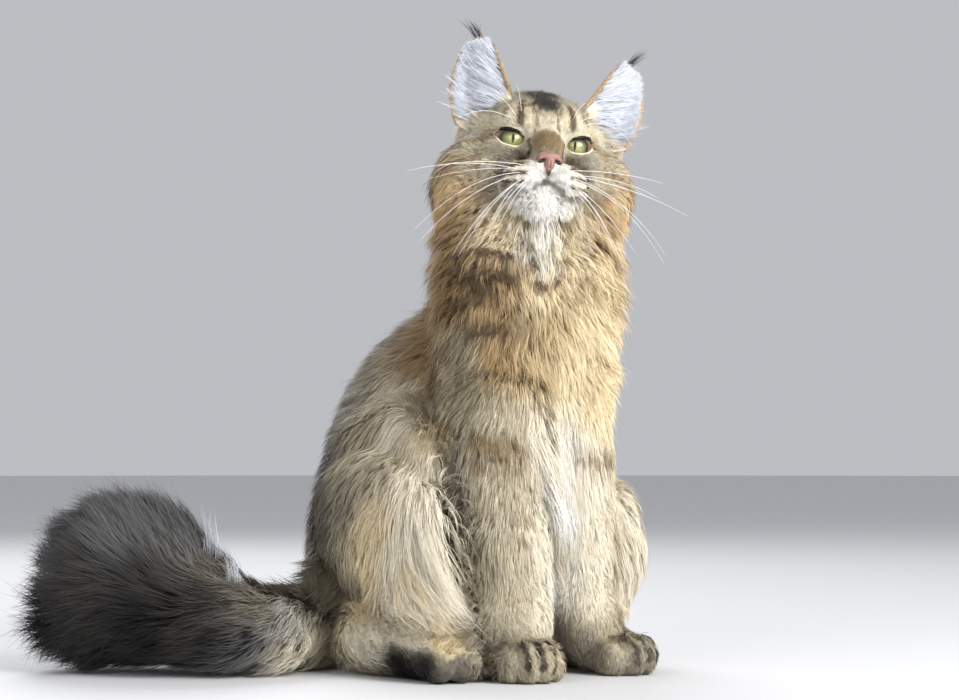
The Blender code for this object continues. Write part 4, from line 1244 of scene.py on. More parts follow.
strandShape = {
    "strays": (0.07, 0.01),  # share of strands that reach past their tuft, in loose and in tight tufts
    "strayReach": 1.20,
    "grip": 0.45,  # how much closer a tuft's tips stand than its roots
    "sink": 0.0006,
    "roll": 0.9,
    "taper": ((0, 0.3, 0.7, 1), (0.75, 1.0, 0.72, 0.0)),
    "thick": (0.7, 1.25),
    "lit": (0.74, 0.26),  # lit more by the form than by each strand
    "lowest": 0.0004,
    "darkTip": 0.45,
    "patch": 0.003,
}


def ribbonMesh(name, points, lit, rows):
    # one mesh of strands, each a row of quads with a triangle at the tip
    perStrand = points.shape[2]
    strands = points.shape[0] * points.shape[1]
    ring = []
    for k in range(rows - 2):
        ring += [2 * k, 2 * k + 1, 2 * k + 3, 2 * k + 2]
    ring += [perStrand - 3, perStrand - 2, perStrand - 1]
    ring = np.array(ring)
    starts = np.arange(rows - 1) * 4
    loops = (ring[None] + np.arange(strands)[:, None] * perStrand).ravel()
    firsts = (starts[None] + np.arange(strands)[:, None] * len(ring)).ravel()
    mesh = bpy.data.meshes.new(name)
    mesh.vertices.add(strands * perStrand)
    mesh.vertices.foreach_set("co", points.astype(np.float32).ravel())
    mesh.loops.add(len(loops))
    mesh.loops.foreach_set("vertex_index", loops.astype(np.int32))
    mesh.polygons.add(len(firsts))
    mesh.polygons.foreach_set("loop_start", firsts.astype(np.int32))
    mesh.update(calc_edges=True)
    mesh.normals_split_custom_set_from_vertices(lit.reshape(-1, 3).astype(np.float32))
    print(name, strands, "strands", strands * (2 * rows - 3), "triangles")
    return mesh, loops


def strandMesh(name, path, side, uv, colours, ticks, piece):
    # ribbons round each tuft's path, each with its own place, length, twist and tint
    tuft, rows, width, spread = (piece[word] for word in ("tuft", "rows", "width", "spread"))
    frizz, shortest, soft = piece.get("frizz", 1.0), piece.get("shortest", 0.70), piece.get("soft", 0.0)
    count, last = path.shape[0], path.shape[1] - 1
    around = rng.normal(size=(count, tuft, 2)) * spread
    s = np.linspace(0, 1, rows)
    reach = rng.uniform(shortest, 1.0, (count, tuft))
    stray = rng.random((count, tuft)) < strandShape["strays"][0 if spread > 0.0008 else 1]
    reach = np.where(stray, rng.uniform(1.0, strandShape["strayReach"], (count, tuft)), reach)
    at = s[None, None] * reach[:, :, None] * last
    low = np.minimum(at.astype(int), last - 1)
    part = (at - low)[..., None]
    index = np.arange(count)[:, None, None]
    spots = path[index, low] * (1 - part) + path[index, low + 1] * part
    across = side[index, low]
    ahead = unit(path[index, low + 1] - path[index, low])
    up = unit(np.cross(across, ahead))
    grip = 1 - strandShape["grip"] * s ** 1.2
    offset = around[:, :, None, :] * grip[None, None, :, None]
    wild = rng.normal(size=(count, tuft, 2)) * (1 + 2.2 * stray[..., None])
    bend = wild[:, :, None, :] * (s ** 1.7)[None, None, :, None] * spread * 0.9 * frizz
    shift = offset + bend
    spots = spots + across * shift[..., :1] + up * (shift[..., 1:] * 0.55)
    spots[:, :, 0] -= up[:, :, 0] * strandShape["sink"]
    way = unit(np.gradient(spots, axis=2))
    roll = rng.uniform(-strandShape["roll"], strandShape["roll"], (count, tuft, 1, 1))
    facing = up * np.cos(roll) + across * np.sin(roll)
    flat = unit(np.cross(way, facing))
    taper = np.interp(s, *strandShape["taper"])[None, None, :, None]
    thick = width * rng.uniform(*strandShape["thick"], (count, tuft, 1, 1)) * taper / 2
    left, right = spots - flat * thick, spots + flat * thick
    pairs = np.stack([left[:, :, :-1], right[:, :, :-1]], 3).reshape(count, tuft, -1, 3)
    points = np.concatenate([pairs, spots[:, :, -1:]], 2)
    points[..., 2] = np.maximum(points[..., 2], strandShape["lowest"])
    form, own = strandShape["lit"]
    lit = unit(up * form + unit(np.cross(flat, way)) * own)
    lit = np.concatenate([np.repeat(lit[:, :, :-1], 2, axis=2), lit[:, :, -1:]], 2)
    mesh, loops = ribbonMesh(name, points, lit, rows)

    # tints from root to tip, with a share of dark tips
    rowOf = np.concatenate([np.repeat(np.arange(rows - 1), 2), [rows - 1]])
    sOf = s[rowOf]
    shade = rng.normal(1.0, 0.10 - 0.04 * soft, (count, tuft, 1, 1)) * rng.normal(1.0, 0.07, (count, 1, 1, 1))
    shade = shade * (1 - 0.42 * ticks[:, None, None, None] * rng.random((count, tuft, 1, 1)) ** 1.5)
    if colours.ndim == 3:  # a tint for each place of the path
        tinted = colours[index, low] * (1 - part) + colours[index, low + 1] * part
        body = tinted[:, :, rowOf] * shade
    else:
        body = colours[:, None, None] * shade
    rootShade = 0.70 + 0.15 * soft
    along = np.interp(sOf, (0, 0.35, 0.8, 1.0), (rootShade, 0.95, 1.04, 1.02))[None, None, :, None]
    dark = (rng.random((count, tuft)) < ticks[:, None] * 1.1)[..., None, None]
    fade = np.clip((1 - sOf) / 0.45, 0, 1)[None, None, :, None]
    tip = np.where(dark, strandShape["darkTip"] + (1 - strandShape["darkTip"]) * fade, 1.0)
    paint(mesh, (body * along * tip).reshape(-1, 3))

    # each tuft is one small patch of the map at its root's place
    column = (np.arange(tuft) + 0.5) / tuft - 0.5
    sideOf = np.concatenate([np.tile([-0.45, 0.45], rows - 1), [0.0]])
    u = uv[:, None, None, 0] + (column[None, :, None] + sideOf[None, None] / tuft) * strandShape["patch"]
    rise = (sOf - 0.5) * strandShape["patch"]
    v = uv[:, None, None, 1] + np.broadcast_to(rise, (count, tuft, len(sOf)))
    places = np.stack([np.broadcast_to(u, v.shape), v], -1).reshape(-1, 2)
    layer = mesh.uv_layers.new(name="OFBake", do_init=False)
    layer.uv.foreach_set("vector", places[loops].astype(np.float32).ravel())
    return mesh


noseShape = {  # half the width of the nose leather at heights in the head's frame
    "height": (-0.0236, -0.0195, -0.0155, -0.0118, -0.0078, -0.0066),
    "half": (-0.01, 0.0024, 0.0060, 0.0092, 0.0078, -0.01),
}


def bareSkin(roots, onHead):
    # true on the eyeballs, under the lids, on the lips and on the nose leather
    bare = np.zeros(len(roots), bool)
    if onHead:
        local = toLocal(roots, headFrame)
        noseHalf = np.interp(local[:, 2], noseShape["height"], noseShape["half"])
        bare |= lipGap(local) <= 0.0010
        bare |= (local[:, 1] <= -0.060) & (np.abs(local[:, 0]) <= noseHalf + 0.0004)
    for side in (-1, 1):
        seen = toLocal(roots, eyeFrame(side))
        out = beyondLids(seen[:, 0], seen[:, 2])
        bare |= (np.linalg.norm(seen, axis=1) < 0.0165) & (seen[:, 1] < 0.004) & (out < 0.0007)
    return bare


def partCoat(path, normals, height):
    # sinks a coat in shallow folds along the necklaces and in soft waves between them
    seen = onOutline(path.reshape(-1, 3))
    dip = np.zeros(len(seen))
    for fold in folds:
        dip = np.maximum(dip, np.exp(-(pathDistance(seen, fold) / foldShape["reach"]) ** 2))
    waves = 0.5 + 0.5 * np.sin(seen[:, 2] / foldShape["wave"] + 2.2 * wave(seen, 0.030, 31))
    dip = np.maximum(dip, foldShape["waves"] * waves).reshape(len(path), 5)
    dip = dip * np.linspace(0, 1, 5) * height[:, None]
    return path - normals[:, None] * (dip * foldShape["deep"])[:, :, None]


def growCoat(surface):
    grown = []
    tall = readLie(surface.points[surface.tris[:, 0]], "head")[:, 3]
    for name, piece in coatPieces.items():
        chosen = np.zeros(len(surface.tris), bool)
        for node in piece["nodes"]:
            chosen |= np.char.startswith(surface.triNames, node)
        chosen &= surface.tris[:, 0] < ears["firstPoint"]
        if "long" in piece:
            chosen &= (tall >= piece["long"][0]) & (tall < piece["long"][1])
        count = piece["strands"] // piece["tuft"]
        roots, normals, uv, depth = surface.sample(count, chosen.astype(float))
        lie = readLie(roots, piece["group"])
        length = lie[:, 3] * rng.uniform(0.8, 1.12, count)
        keep = ~bareSkin(roots, piece["group"] == "head")
        roots, normals, uv, depth = roots[keep], normals[keep], uv[keep], depth[keep]
        lie, length = lie[keep], length[keep]
        stand, free, lock = lie[:, 4], lie[:, 5], lie[:, 6]

        way = unit(lie[:, :3])
        sway = wave(roots, 0.020, 21) * 0.22 + wave(roots, 0.008, 22) * 0.16 + rng.normal(0, 0.07, len(roots))
        cross = unit(np.cross(way, normals))
        way = unit(way + cross * (sway * piece["sway"])[:, None])
        depth = np.clip(depth, 0.0006, 0.060)
        height = np.minimum(depth * stand, length * 0.88) * rng.uniform(0.84, 1.03, len(roots))
        height *= 1 + 0.07 * wave(roots, 0.012, 23)
        length = np.maximum(length, height * 1.08)
        path, side = layPaths(surface, roots, normals, way, length, height, free, 4, piece["curve"])
        path = gatherLocks(path, lock * piece["lock"], 0.16)
        colours, ticks = pathColours(path, piece["group"] == "tail")
        if name in foldShape["pieces"]:
            path = partCoat(path, normals, height)
        grown.append(path[:, 2:].reshape(-1, 3))
        mesh = strandMesh(name, path, side, uv, colours, ticks, piece)
        newObject(name, mesh, coatMaterial)
    return pointTree(np.concatenate(grown))


def coatHeight(grown, spots, roots, up):  # how high the hairs stand above each root
    heights = np.empty(len(spots))
    for k, spot in enumerate(spots):
        near = np.array([found[0] for found in grown.find_n(spot, 16)])
        heights[k] = np.percentile((near - roots[k]) @ up[k], 60)
    return heights


# Tufts on top of the coat that draw its markings and painted shade, long on the body and short on face and
# feet.
# The pairs are for firm tones and for brown: tufts on a square metre, and how far they turn
# along the mark.
markAndShadePieces = {
    "markAndShadeFur": dict(long=True, crowd=(0.55e6, 0.24e6), share=(0.45, 0.20), size=0.0085, rise=(0.86, 1.02),
                    shade=0.60, tuft=5, rows=4, width=0.00028, spread=0.0009, frizz=0.7, soft=0.6),
    "lineFur": dict(long=False, crowd=(1.4e6, 1.4e6), share=(0.5, 0.5), size=0.0030, rise=(0.70, 0.98),
                    shade=1, tuft=4, rows=4, width=0.00022, spread=0.0004, frizz=0.7, soft=0.6),
}


def growMarkAndShadeTufts(surface, grown):
    for name, piece in markAndShadePieces.items():
        long = piece["long"]
        paths, sides, tints = [], [], []
        for path, half, tone, strength, tail in marksAndShade:
            middle = path[len(path) // 2][None]
            deep = np.linalg.norm(middle - surface.nearest(middle)[0])
            drawn = tone in ("umber", "brown", "smoke") or (tail and tone == "ash")
            if (deep > 0.006) != long or not drawn or len(path) < 2 or (half > 0.0030 and not long):
                continue
            owner = outlineOwners[outline.find_nearest(Vector(middle[0]))[2]]
            group = "tail" if tail else "head" if owner == "head" else "body"
            along = np.concatenate([[0], np.cumsum(np.linalg.norm(np.diff(path, axis=0), axis=1))])
            firm = tone != "brown"
            crowd, share = (piece[word][0 if firm else 1] for word in ("crowd", "share"))
            count = max(8, int((along[-1] + half) * half * 2 * crowd * strength))
            where = rng.random(count) * along[-1]
            where = where[np.sin(where / 0.0021 + rng.uniform(0, 6)) > -0.80]
            count = len(where)
            spots = np.stack([np.interp(where, along, path[:, k]) for k in range(3)], 1)
            tangent = np.gradient(path, axis=0)
            course = unit(np.stack([np.interp(where, along, tangent[:, k]) for k in range(3)], 1))
            spots = onOutline(spots + rng.normal(0, half * 0.36, (count, 3)))
            roots = surface.nearest(spots)[0]
            up = unit(spots - roots)
            depth = np.linalg.norm(spots - roots, axis=1)[:, None, None]
            coat = readLie(spots, group)
            if long:
                depth = np.minimum(depth, coatHeight(grown, spots, roots, up)[:, None, None])
            lie = unit(coat[:, :3] + rng.normal(0, 0.15, (count, 3)))
            course = course * np.where((course * lie).sum(1, keepdims=True) < 0, -1, 1)
            flow = lie * (1 - share) + course * share
            flow = unit(flow - (flow * up).sum(1, keepdims=True) * up)
            length = rng.uniform(0.7, 1.2, (count, 1, 1)) * piece["size"]
            s = np.linspace(0, 1, 5)[None, :, None]
            low, high = piece["rise"]
            rise = (low + (high - low) * (1 - (1 - s) ** 1.6)) * rng.uniform(0.93, 1.03, (count, 1, 1))
            paths.append(roots[:, None] + up[:, None] * depth * rise + flow[:, None] * (s - 0.45) * length)
            sides.append(np.repeat(unit(np.cross(flow, up))[:, None], 5, axis=1))
            own = np.array(tones[tone][0]) * (piece["shade"] if firm else 1)
            other = np.array(tones["ginger" if firm else "agouti"][0])
            mixed = rng.uniform(0, 0.25, (count, 1)) if firm else rng.uniform(0.10, 0.50, (count, 1))
            tints.append(own * (1 - mixed) + other * mixed)
        path, tint = np.concatenate(paths), np.concatenate(tints)
        place = surface.mapPlaces(path[:, 0])
        mesh = strandMesh(name, path, np.concatenate(sides), place, tint, np.zeros(len(path)), piece)
        newObject(name, mesh, coatMaterial)


# Long locks that sweep clear of the coat: a path from the forepaws, tufts, spread and tone
sweptLocks = [
    ([(-98, 36, 104), (-98, 27, 80), (-88, 17, 50), (-65, 8, 26)], 26, 7.5, "cream"),
    ([(-102, 44, 92), (-103, 33, 68), (-93, 21, 44), (-72, 10, 27)], 26, 7.5, "cream"),
    ([(-106, 54, 80), (-107, 43, 60), (-100, 30, 42), (-84, 18, 32)], 22, 7.5, "sand"),
    ([(-24, -2, 170), (-22, -9, 146), (-17, -11, 118), (-10, -8, 92)], 30, 8.5, "cream"),
    ([(-16, -2, 136), (-14, -8, 112), (-10, -8, 86), (-6, -2, 62)], 30, 8, "white"),
    ([(-8, 4, 100), (-7, -2, 78), (-5, -1, 54), (-5, 4, 34)], 26, 6.5, "cream"),
    ([(-170, 168, 66), (-173, 169, 82), (-175, 169, 98), (-176, 170, 112)], 16, 3.2, "snow"),
    ([(-164, 150, 56), (-168, 150, 66), (-172, 151, 78), (-175, 152, 90)], 12, 3, "snow"),
]


sweptLook = dict(tuft=9, rows=5, width=0.00030, spread=0.0020, frizz=0.9, shortest=0.5, soft=0.6)


def growLocks(surface):
    paths, tints = [], []
    for path, tufts, spread, tone in sweptLocks:
        line = toWorld(smoothPath(np.array(path) / 1000, 4), catFrame)
        line = line[np.round(np.linspace(0, len(line) - 1, 5)).astype(int)]
        s = np.linspace(0, 1, 5)[None, :, None]
        shift = rng.normal(0, spread / 1000, (tufts, 1, 3)) * (1 - 0.45 * s)
        shift = shift + rng.normal(0, 0.0016, (tufts, 5, 3)) * s
        reach = rng.uniform(0.55, 1.0, (tufts, 1, 1))
        lock = line[:1][None] + (line[None] - line[:1][None]) * reach + shift
        within = surface.nearest(lock[:, 0])[0]
        lock[:, 0] = within + (lock[:, 0] - within) * 0.2
        lock[:, 1] = surface.nearest(lock[:, 1])[0] * 0.4 + lock[:, 1] * 0.6
        paths.append(lock)
        tints.append(np.tile(tones[tone][0], (tufts, 1)) * rng.uniform(0.80, 1.04, (tufts, 1)))
    path, tint = np.concatenate(paths), np.concatenate(tints)
    roots, normals = surface.nearest(path[:, 0])
    side = unit(np.cross(np.gradient(path, axis=1), normals[:, None]))
    ticks = np.full(len(path), 0.12)
    mesh = strandMesh("sweptFur", path, side, surface.mapPlaces(roots), tint, ticks, sweptLook)
    newObject("sweptFur", mesh, coatMaterial)


# The ears' own hairs: tufts on each ear, share of dark tips, and their strands
earPieces = {
    "earRim": dict(count=2700, tick=0.05, tuft=3, rows=3, width=0.00024, spread=0.0004, frizz=0.8, soft=1),
    "earFoot": dict(count=420, tick=0.2, tuft=6, rows=4, width=0.00024, spread=0.0012, frizz=0.9, soft=0.6),
    "earHair": dict(count=740, tick=0.0, tuft=8, rows=4, width=0.00034, spread=0.0008, frizz=1.4),
    "earTip": dict(count=9, tick=0.0, tuft=6, rows=4, width=0.00022, spread=0.0007, frizz=1.8, shortest=0.4),
}


def earStrands(name, word, path, across, uv, colours):
    piece = earPieces[name]
    mesh = strandMesh(name + word, path, across, uv, colours, np.full(len(path), piece["tick"]), piece)
    newObject(name + word, mesh, coatMaterial)


def looseInEar(surface, seat, onEar, path):
    # loose hairs' places, the way across each, and where they lie on the map
    count = len(path)
    path = toWorld(path.reshape(-1, 3), seat).reshape(count, 5, 3)
    ahead = turned(np.array([[0.0, -1.0, 0.0]]), seat)
    across = unit(np.cross(np.gradient(path, axis=1), ahead))
    return path, across, surface.uv[rng.choice(np.where(onEar)[0], count)].mean(1)


def growEarRim(surface, side, word, seat, onEar, local):
    # short fur on the back and rim
    length = ears["length"]
    front = turned(surface.normals[surface.tris[:, 0]], seat.inverted())[:, 1] < -0.15
    middle = side * 0.004 * np.sin(math.pi * np.clip(local[:, 2] / length, 0, 1))
    edge = np.abs(local[:, 0] - middle) / earWidth(local[:, 2] / length)
    weight = onEar * np.where(front, np.where(edge > 0.84, 2.4, 0.0), 1.0)
    count = earPieces["earRim"]["count"]
    roots, normals, uv, depth = surface.sample(count, weight)
    here = toLocal(roots, seat)
    up = here[:, 2] / length
    sideways = (here[:, 0] - side * 0.004) / earWidth(up)
    way = np.stack([sideways * 0.9, np.zeros(count), 0.45 + 0.3 * (1 - np.abs(sideways))], 1)
    reach = rng.uniform(0.0022, 0.0038, count)
    free = np.full(count, 0.6)
    path, across = layPaths(surface, roots, normals, unit(turned(way, seat)), reach, reach * 0.30, free, 4)
    rim, back = np.array(tones["ginger"][0]), np.array(tones["grey"][0])
    rimmed = smoothStep(0.60, 0.85, np.abs(here[:, 0] - side * 0.004) / earWidth(up))[:, None]
    colours = back + rimmed * (rim - back)
    colours = colours * (1 - 0.30 * smoothStep(0.93, 1.02, up))[:, None]
    earStrands("earRim", word, path, across, uv, colours)


def growEarFoot(surface, side, word, seat, onEar):
    # round the foot of the ear: up its hollow at the inner end, out and down at the outer
    count = earPieces["earFoot"]["count"]
    start = rng.uniform(-1.0, 0.8, count)
    root = earPoint(side, start, rng.uniform(-0.08, 0.05, count))
    root[:, 1] += rng.uniform(-0.0045, 0.0020, count)
    outer = smoothStep(-0.3, 0.8, start)
    way = np.stack([side * (0.40 + 0.15 * outer), -0.25 + 0.40 * outer, 0.85 - 1.75 * outer], 1)
    way = unit(way + rng.normal(0, 0.12, (count, 3)))
    length = rng.uniform(0.008, 0.020, count)
    s = np.linspace(0, 1, 5)[None, :, None]
    bow = np.array([0, -0.0020, 0]) * 4 * s * (1 - s)
    path = root[:, None] + way[:, None] * length[:, None, None] * s + bow
    inside, outside = np.array(tones["cream"][0]), np.array(tones["agouti"][0])
    colours = inside + outer[:, None] * (outside - inside)
    earStrands("earFoot", word, *looseInEar(surface, seat, onEar, path), colours)


def growEarInside(surface, side, word, seat, onEar):
    # long pale hairs from the inner edge toward the outer, a few past it
    count = earPieces["earHair"]["count"]
    start = rng.beta(1.1, 1.6, count) * 1.60 - 0.94
    up = rng.beta(1.1, 1.3, count) * 0.90 + 0.01
    root = earPoint(side, start, up)
    lean = np.radians(22 + 50 * up + rng.normal(0, 6, count))
    length = (0.030 - 0.012 * up) * rng.uniform(0.7, 1.15, count)
    wisp = (rng.random(count) < 0.07) & (up < 0.45)
    limit = rng.uniform(0.82, 1.02, count)
    for again in range(24):
        endX = side * root[:, 0] + length * np.cos(lean)
        endUp = (root[:, 2] + length * np.sin(lean) * 1.1) / ears["length"]
        beyond = ((endX - 0.004) > earWidth(endUp) * limit) | (endUp > 0.96)
        length = np.where(beyond & ~wisp, length * 0.92, length)
    length = np.where(wisp, np.minimum(length, 0.020), length)
    s = np.linspace(0, 1, 5)[None]
    travelX = length[:, None] * np.cos(lean)[:, None] * s
    travelZ = length[:, None] * (np.sin(lean)[:, None] * s + 0.10 * s ** 2)
    x = side * (side * root[:, :1] + travelX)
    z = root[:, 2:] + travelZ
    front = earPoint(side, np.clip((side * x) / ears["halfWidth"], -1.2, 1.2), z / ears["length"])[..., 1]
    lift = 0.0008 + 0.0042 * np.sin(math.pi * np.clip(s, 0, 1) * 0.6) * rng.uniform(0.5, 1.3, (count, 1))
    rooted = root[:, 1:2]
    y = rooted * (1 - s) + np.minimum(front, rooted - 0.001) * s - lift
    colours = np.tile(tones["snow"][0], (count, 1))
    path = np.stack([x, y, z], -1)
    earStrands("earHair", word, *looseInEar(surface, seat, onEar, path), colours)


def growEarTip(surface, side, word, seat, onEar):
    # the dark tuft on the point
    count = earPieces["earTip"]["count"]
    root = earPoint(side, rng.uniform(-0.8, 0.8, count), np.full(count, 0.985))
    reach = rng.uniform(0.012, 0.024, count)
    outward = side * rng.uniform(0.001, 0.012, count)
    tip = root + np.stack([outward, rng.uniform(-0.002, 0.002, count), reach], 1)
    s = np.linspace(0, 1, 5)[None, :, None]
    path = root[:, None] * (1 - s) + tip[:, None] * s + s * (1 - s) * np.array([side * -0.002, 0, 0.003])
    colours = np.tile(tones["soot"][0], (count, 1))
    earStrands("earTip", word, *looseInEar(surface, seat, onEar, path), colours)


def growEarHair(surface):
    low, high = ears["zone"]
    for side, word in ((-1, "Right"), (1, "Left")):
        seat = earFrame(side)
        local = toLocal(surface.points[surface.tris[:, 0]], seat)
        onEar = ((local > low) & (local < high)).all(1) & (surface.tris[:, 0] >= ears["firstPoint"])
        growEarRim(surface, side, word, seat, onEar, local)
        growEarFoot(surface, side, word, seat, onEar)
        growEarInside(surface, side, word, seat, onEar)
        growEarTip(surface, side, word, seat, onEar)


iris = {
    "inner": linear(174, 164, 106),
    "middle": linear(138, 142, 86),
    "outer": linear(88, 94, 54),
    "edge": linear(28, 24, 16),
    "cornerOutward": linear(104, 74, 52),
    "cornerInward": linear(46, 32, 28),
    "streaks": 0.16,
}


def makeEye(side, word):
    # the ball, with its pole along the gaze, a raised cornea and a painted iris
    bm = bmesh.new()
    bmesh.ops.create_uvsphere(bm, u_segments=96, v_segments=84, radius=eyes["radius"])
    gaze = Vector(eyes["gaze"][side]).normalized()
    turn = gaze.to_track_quat("Z", "Y").to_matrix().to_4x4()
    mesh = meshFrom(bm, "eyeBall" + word)
    local = pointsOf(mesh)
    flatRange = np.hypot(local[:, 0], local[:, 1])
    ahead = local[:, 2] > 0
    local[:, 2] += np.where(ahead, 0.0011 * smoothStep(0.0084, 0.0, flatRange), 0)
    world = toWorld(local, headFrame @ Matrix.Translation(eyes["centre"][side]) @ turn)
    seen = turned(local, turn)  # in the head's frame, so that the slit stands upright
    gazeUp = unit(np.array([0, 0, 1.0]) - np.array(gaze) * gaze.z)
    gazeSide = np.cross(gazeUp, np.array(gaze))
    x, z = seen @ gazeSide, seen @ gazeUp
    angle = np.arctan2(z, x)
    streaks = np.sin(angle * 23 + 2 * np.sin(angle * 7)) * 0.5 + np.sin(angle * 41 + 1.3) * 0.35
    inner, middle = np.array(iris["inner"]), np.array(iris["middle"])
    t = flatRange / eyes["iris"]
    colour = inner + smoothStep(0.2, 0.55, t)[:, None] * (middle - inner)
    colour += smoothStep(0.6, 0.97, t)[:, None] * (np.array(iris["outer"]) - colour)
    colour *= (1 + iris["streaks"] * streaks * smoothStep(0.15, 0.5, t))[:, None]
    # painted shadow of the upper lid: the iris darkens toward its top and is near black at its top edge
    colour *= (1 - 0.55 * smoothStep(0.0002, 0.0034, z))[:, None]  # darker under the upper lid
    colour *= (1 - 0.90 * smoothStep(0.0030, 0.0044, z))[:, None]
    colour += smoothStep(0.93, 1.03, t)[:, None] * (np.array(iris["edge"]) - colour)
    corner = np.where((side * x > 0)[:, None], iris["cornerOutward"], iris["cornerInward"])
    colour += smoothStep(1.08, 1.25, t)[:, None] * (corner - colour)
    slit = np.sqrt((x / eyes["pupil"][0]) ** 2 + (z / eyes["pupil"][1]) ** 2)
    colour *= smoothStep(0.85, 1.2, np.where(ahead, slit, 9))[:, None] * 0.98 + 0.02
    movePoints(mesh, world)
    paint(mesh, colour)
    ball = newObject("eyeBall" + word, mesh, eyeGloss)
    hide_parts("eye_" + word.lower())


def makeLids(side, word):
    # the rims: near black above and at the corners, cream below
    outline = lidOutline(7)
    radius = eyes["lidRadius"]
    count = len(outline)
    flat = np.hypot(*outline.T)
    scale = np.minimum(1, radius * 0.985 / flat)
    depth = -np.sqrt(np.maximum(radius ** 2 - (flat * scale) ** 2, 0))
    path = np.stack([outline[:, 0] * scale, depth, outline[:, 1] * scale], 1)
    path[:, 0] += (flat > radius * 0.985) * (outline[:, 0] - outline[:, 0] * scale)
    upper = smoothStep(-0.0012, 0.0018, outline[:, 1] - 0.26 * outline[:, 0])
    bm = bmesh.new()
    rings = []
    for k in range(count):
        way = Vector(path[(k + 1) % count] - path[k - 1]).normalized()
        thick = 0.00066 + 0.00050 * upper[k] * smoothStep(0.0115, 0.0070, outline[k, 0])
        turn = way.to_track_quat("Z", "Y").to_matrix().to_4x4()
        rings.append(addRing(bm, 10, thick, Matrix.Translation(path[k]) @ turn))
    bridgeRings(bm, rings + rings[:1])
    bmesh.ops.recalc_face_normals(bm, faces=bm.faces)
    mesh = meshFrom(bm, "lids" + word)
    local = pointsOf(mesh)
    rim = smoothStep(-0.0006, 0.0010, local[:, 2] - 0.40 * local[:, 0])
    corner = smoothStep(0.0080, 0.0100, -local[:, 0])
    dark = np.clip(rim + corner, 0, 1)[:, None]
    brown = smoothStep(0.0085, 0.0112, local[:, 0])[:, None]
    over = np.array(linear(24, 18, 15)) * (1 - brown) + np.array(linear(120, 84, 58)) * brown
    colour = np.array(linear(236, 218, 190)) * (1 - dark) + over * dark
    movePoints(mesh, toWorld(local, eyeFrame(side)))
    bm = bmesh.new()
    bm.from_mesh(mesh)
    bmesh.ops.recalc_face_normals(bm, faces=bm.faces)
    bm.to_mesh(mesh)
    bm.free()
    paint(mesh, colour)
    newObject("lids" + word, mesh, lidMaterial)


noseLeather = {  # its lumps in the head's frame: centre and radii
    "lumps": [
        ((0, -0.0730, -0.0104), (0.0084, 0.0050, 0.0036)),
        ((0.0058, -0.0722, -0.0122), (0.0034, 0.0044, 0.0031)),
        ((-0.0058, -0.0722, -0.0122), (0.0034, 0.0044, 0.0031)),
        ((0, -0.0738, -0.0150), (0.0038, 0.0050, 0.0050)),
        ((0, -0.0734, -0.0198), (0.0016, 0.0042, 0.0034)),
    ],
    "voxel": 0.00032,
    "nostril": (0.0052, -0.0136),
    "colour": linear(148, 108, 96),
}


def makeNose():
    # a broad top over two nostrils, which narrows to the groove below
    bm = bmesh.new()
    turn = headFrame.to_3x3().to_4x4()
    for spot, radii in noseLeather["lumps"]:
        addLump(bm, headFrame @ Vector(spot), radii, turn, segments=24)
    mesh = voxelSkin(bm, "noseStart", noseLeather["voxel"], 6)
    mesh.name = "noseTip"
    local = toLocal(pointsOf(mesh), headFrame)
    colour = np.tile(noseLeather["colour"], (len(local), 1))
    across, up = noseLeather["nostril"]
    # painted shade in the nostrils: each hole is pushed in a little and darkened
    for side in (-1, 1):
        x, z = side * local[:, 0] - across, local[:, 2] - up
        hole = np.sqrt(((x - z * 0.5) / 0.0027) ** 2 + ((z + x * 0.45) / 0.0012) ** 2)
        inside = smoothStep(1.25, 0.35, hole) * (local[:, 1] < -0.070)
        local[:, 1] += inside * 0.0012
        colour *= (1 - 0.90 * smoothStep(1.25, 0.75, hole) * (local[:, 1] < -0.060))[:, None]
    # painted shade in the groove down the middle of the nose, which is also pushed in
    middle = np.exp(-(local[:, 0] / 0.0006) ** 2) * smoothStep(-0.0125, -0.0150, local[:, 2])
    local[:, 1] += middle * 0.0007
    colour *= (1 - 0.45 * middle)[:, None]
    colour *= (1 - 0.72 * smoothStep(-0.0182, -0.0215, local[:, 2]))[:, None]
    colour *= (1 - 0.35 * smoothStep(0.0060, 0.0078, np.abs(local[:, 0])))[:, None]
    colour *= (1 + 0.12 * wave(local, 0.0022, 9))[:, None]
    movePoints(mesh, toWorld(local, headFrame))
    paint(mesh, colour)
    nose = newObject("noseTip", mesh, noseMaterial())
    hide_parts("nose")


def threadMesh(name, paths, radii, colour, sides=5):
    # tapering hairs as thin tubes
    bm = bmesh.new()
    for path, radius in zip(paths, radii):
        path = smoothPath(path, 5)
        rings = []
        for k, point in enumerate(path):
            way = Vector(path[min(k + 1, len(path) - 1)] - path[max(k - 1, 0)]).normalized()
            thick = radius * (1 - k / (len(path) - 1)) ** 0.7 + 0.00003
            matrix = Matrix.Translation(point) @ way.to_track_quat("Z", "Y").to_matrix().to_4x4()
            rings.append(addRing(bm, sides, thick, matrix, k in (0, len(path) - 1)))
        bridgeRings(bm, rings)
    bmesh.ops.recalc_face_normals(bm, faces=bm.faces)
    mesh = meshFrom(bm, name)
    paint(mesh, np.tile(colour, (len(mesh.vertices), 1)))
    return mesh


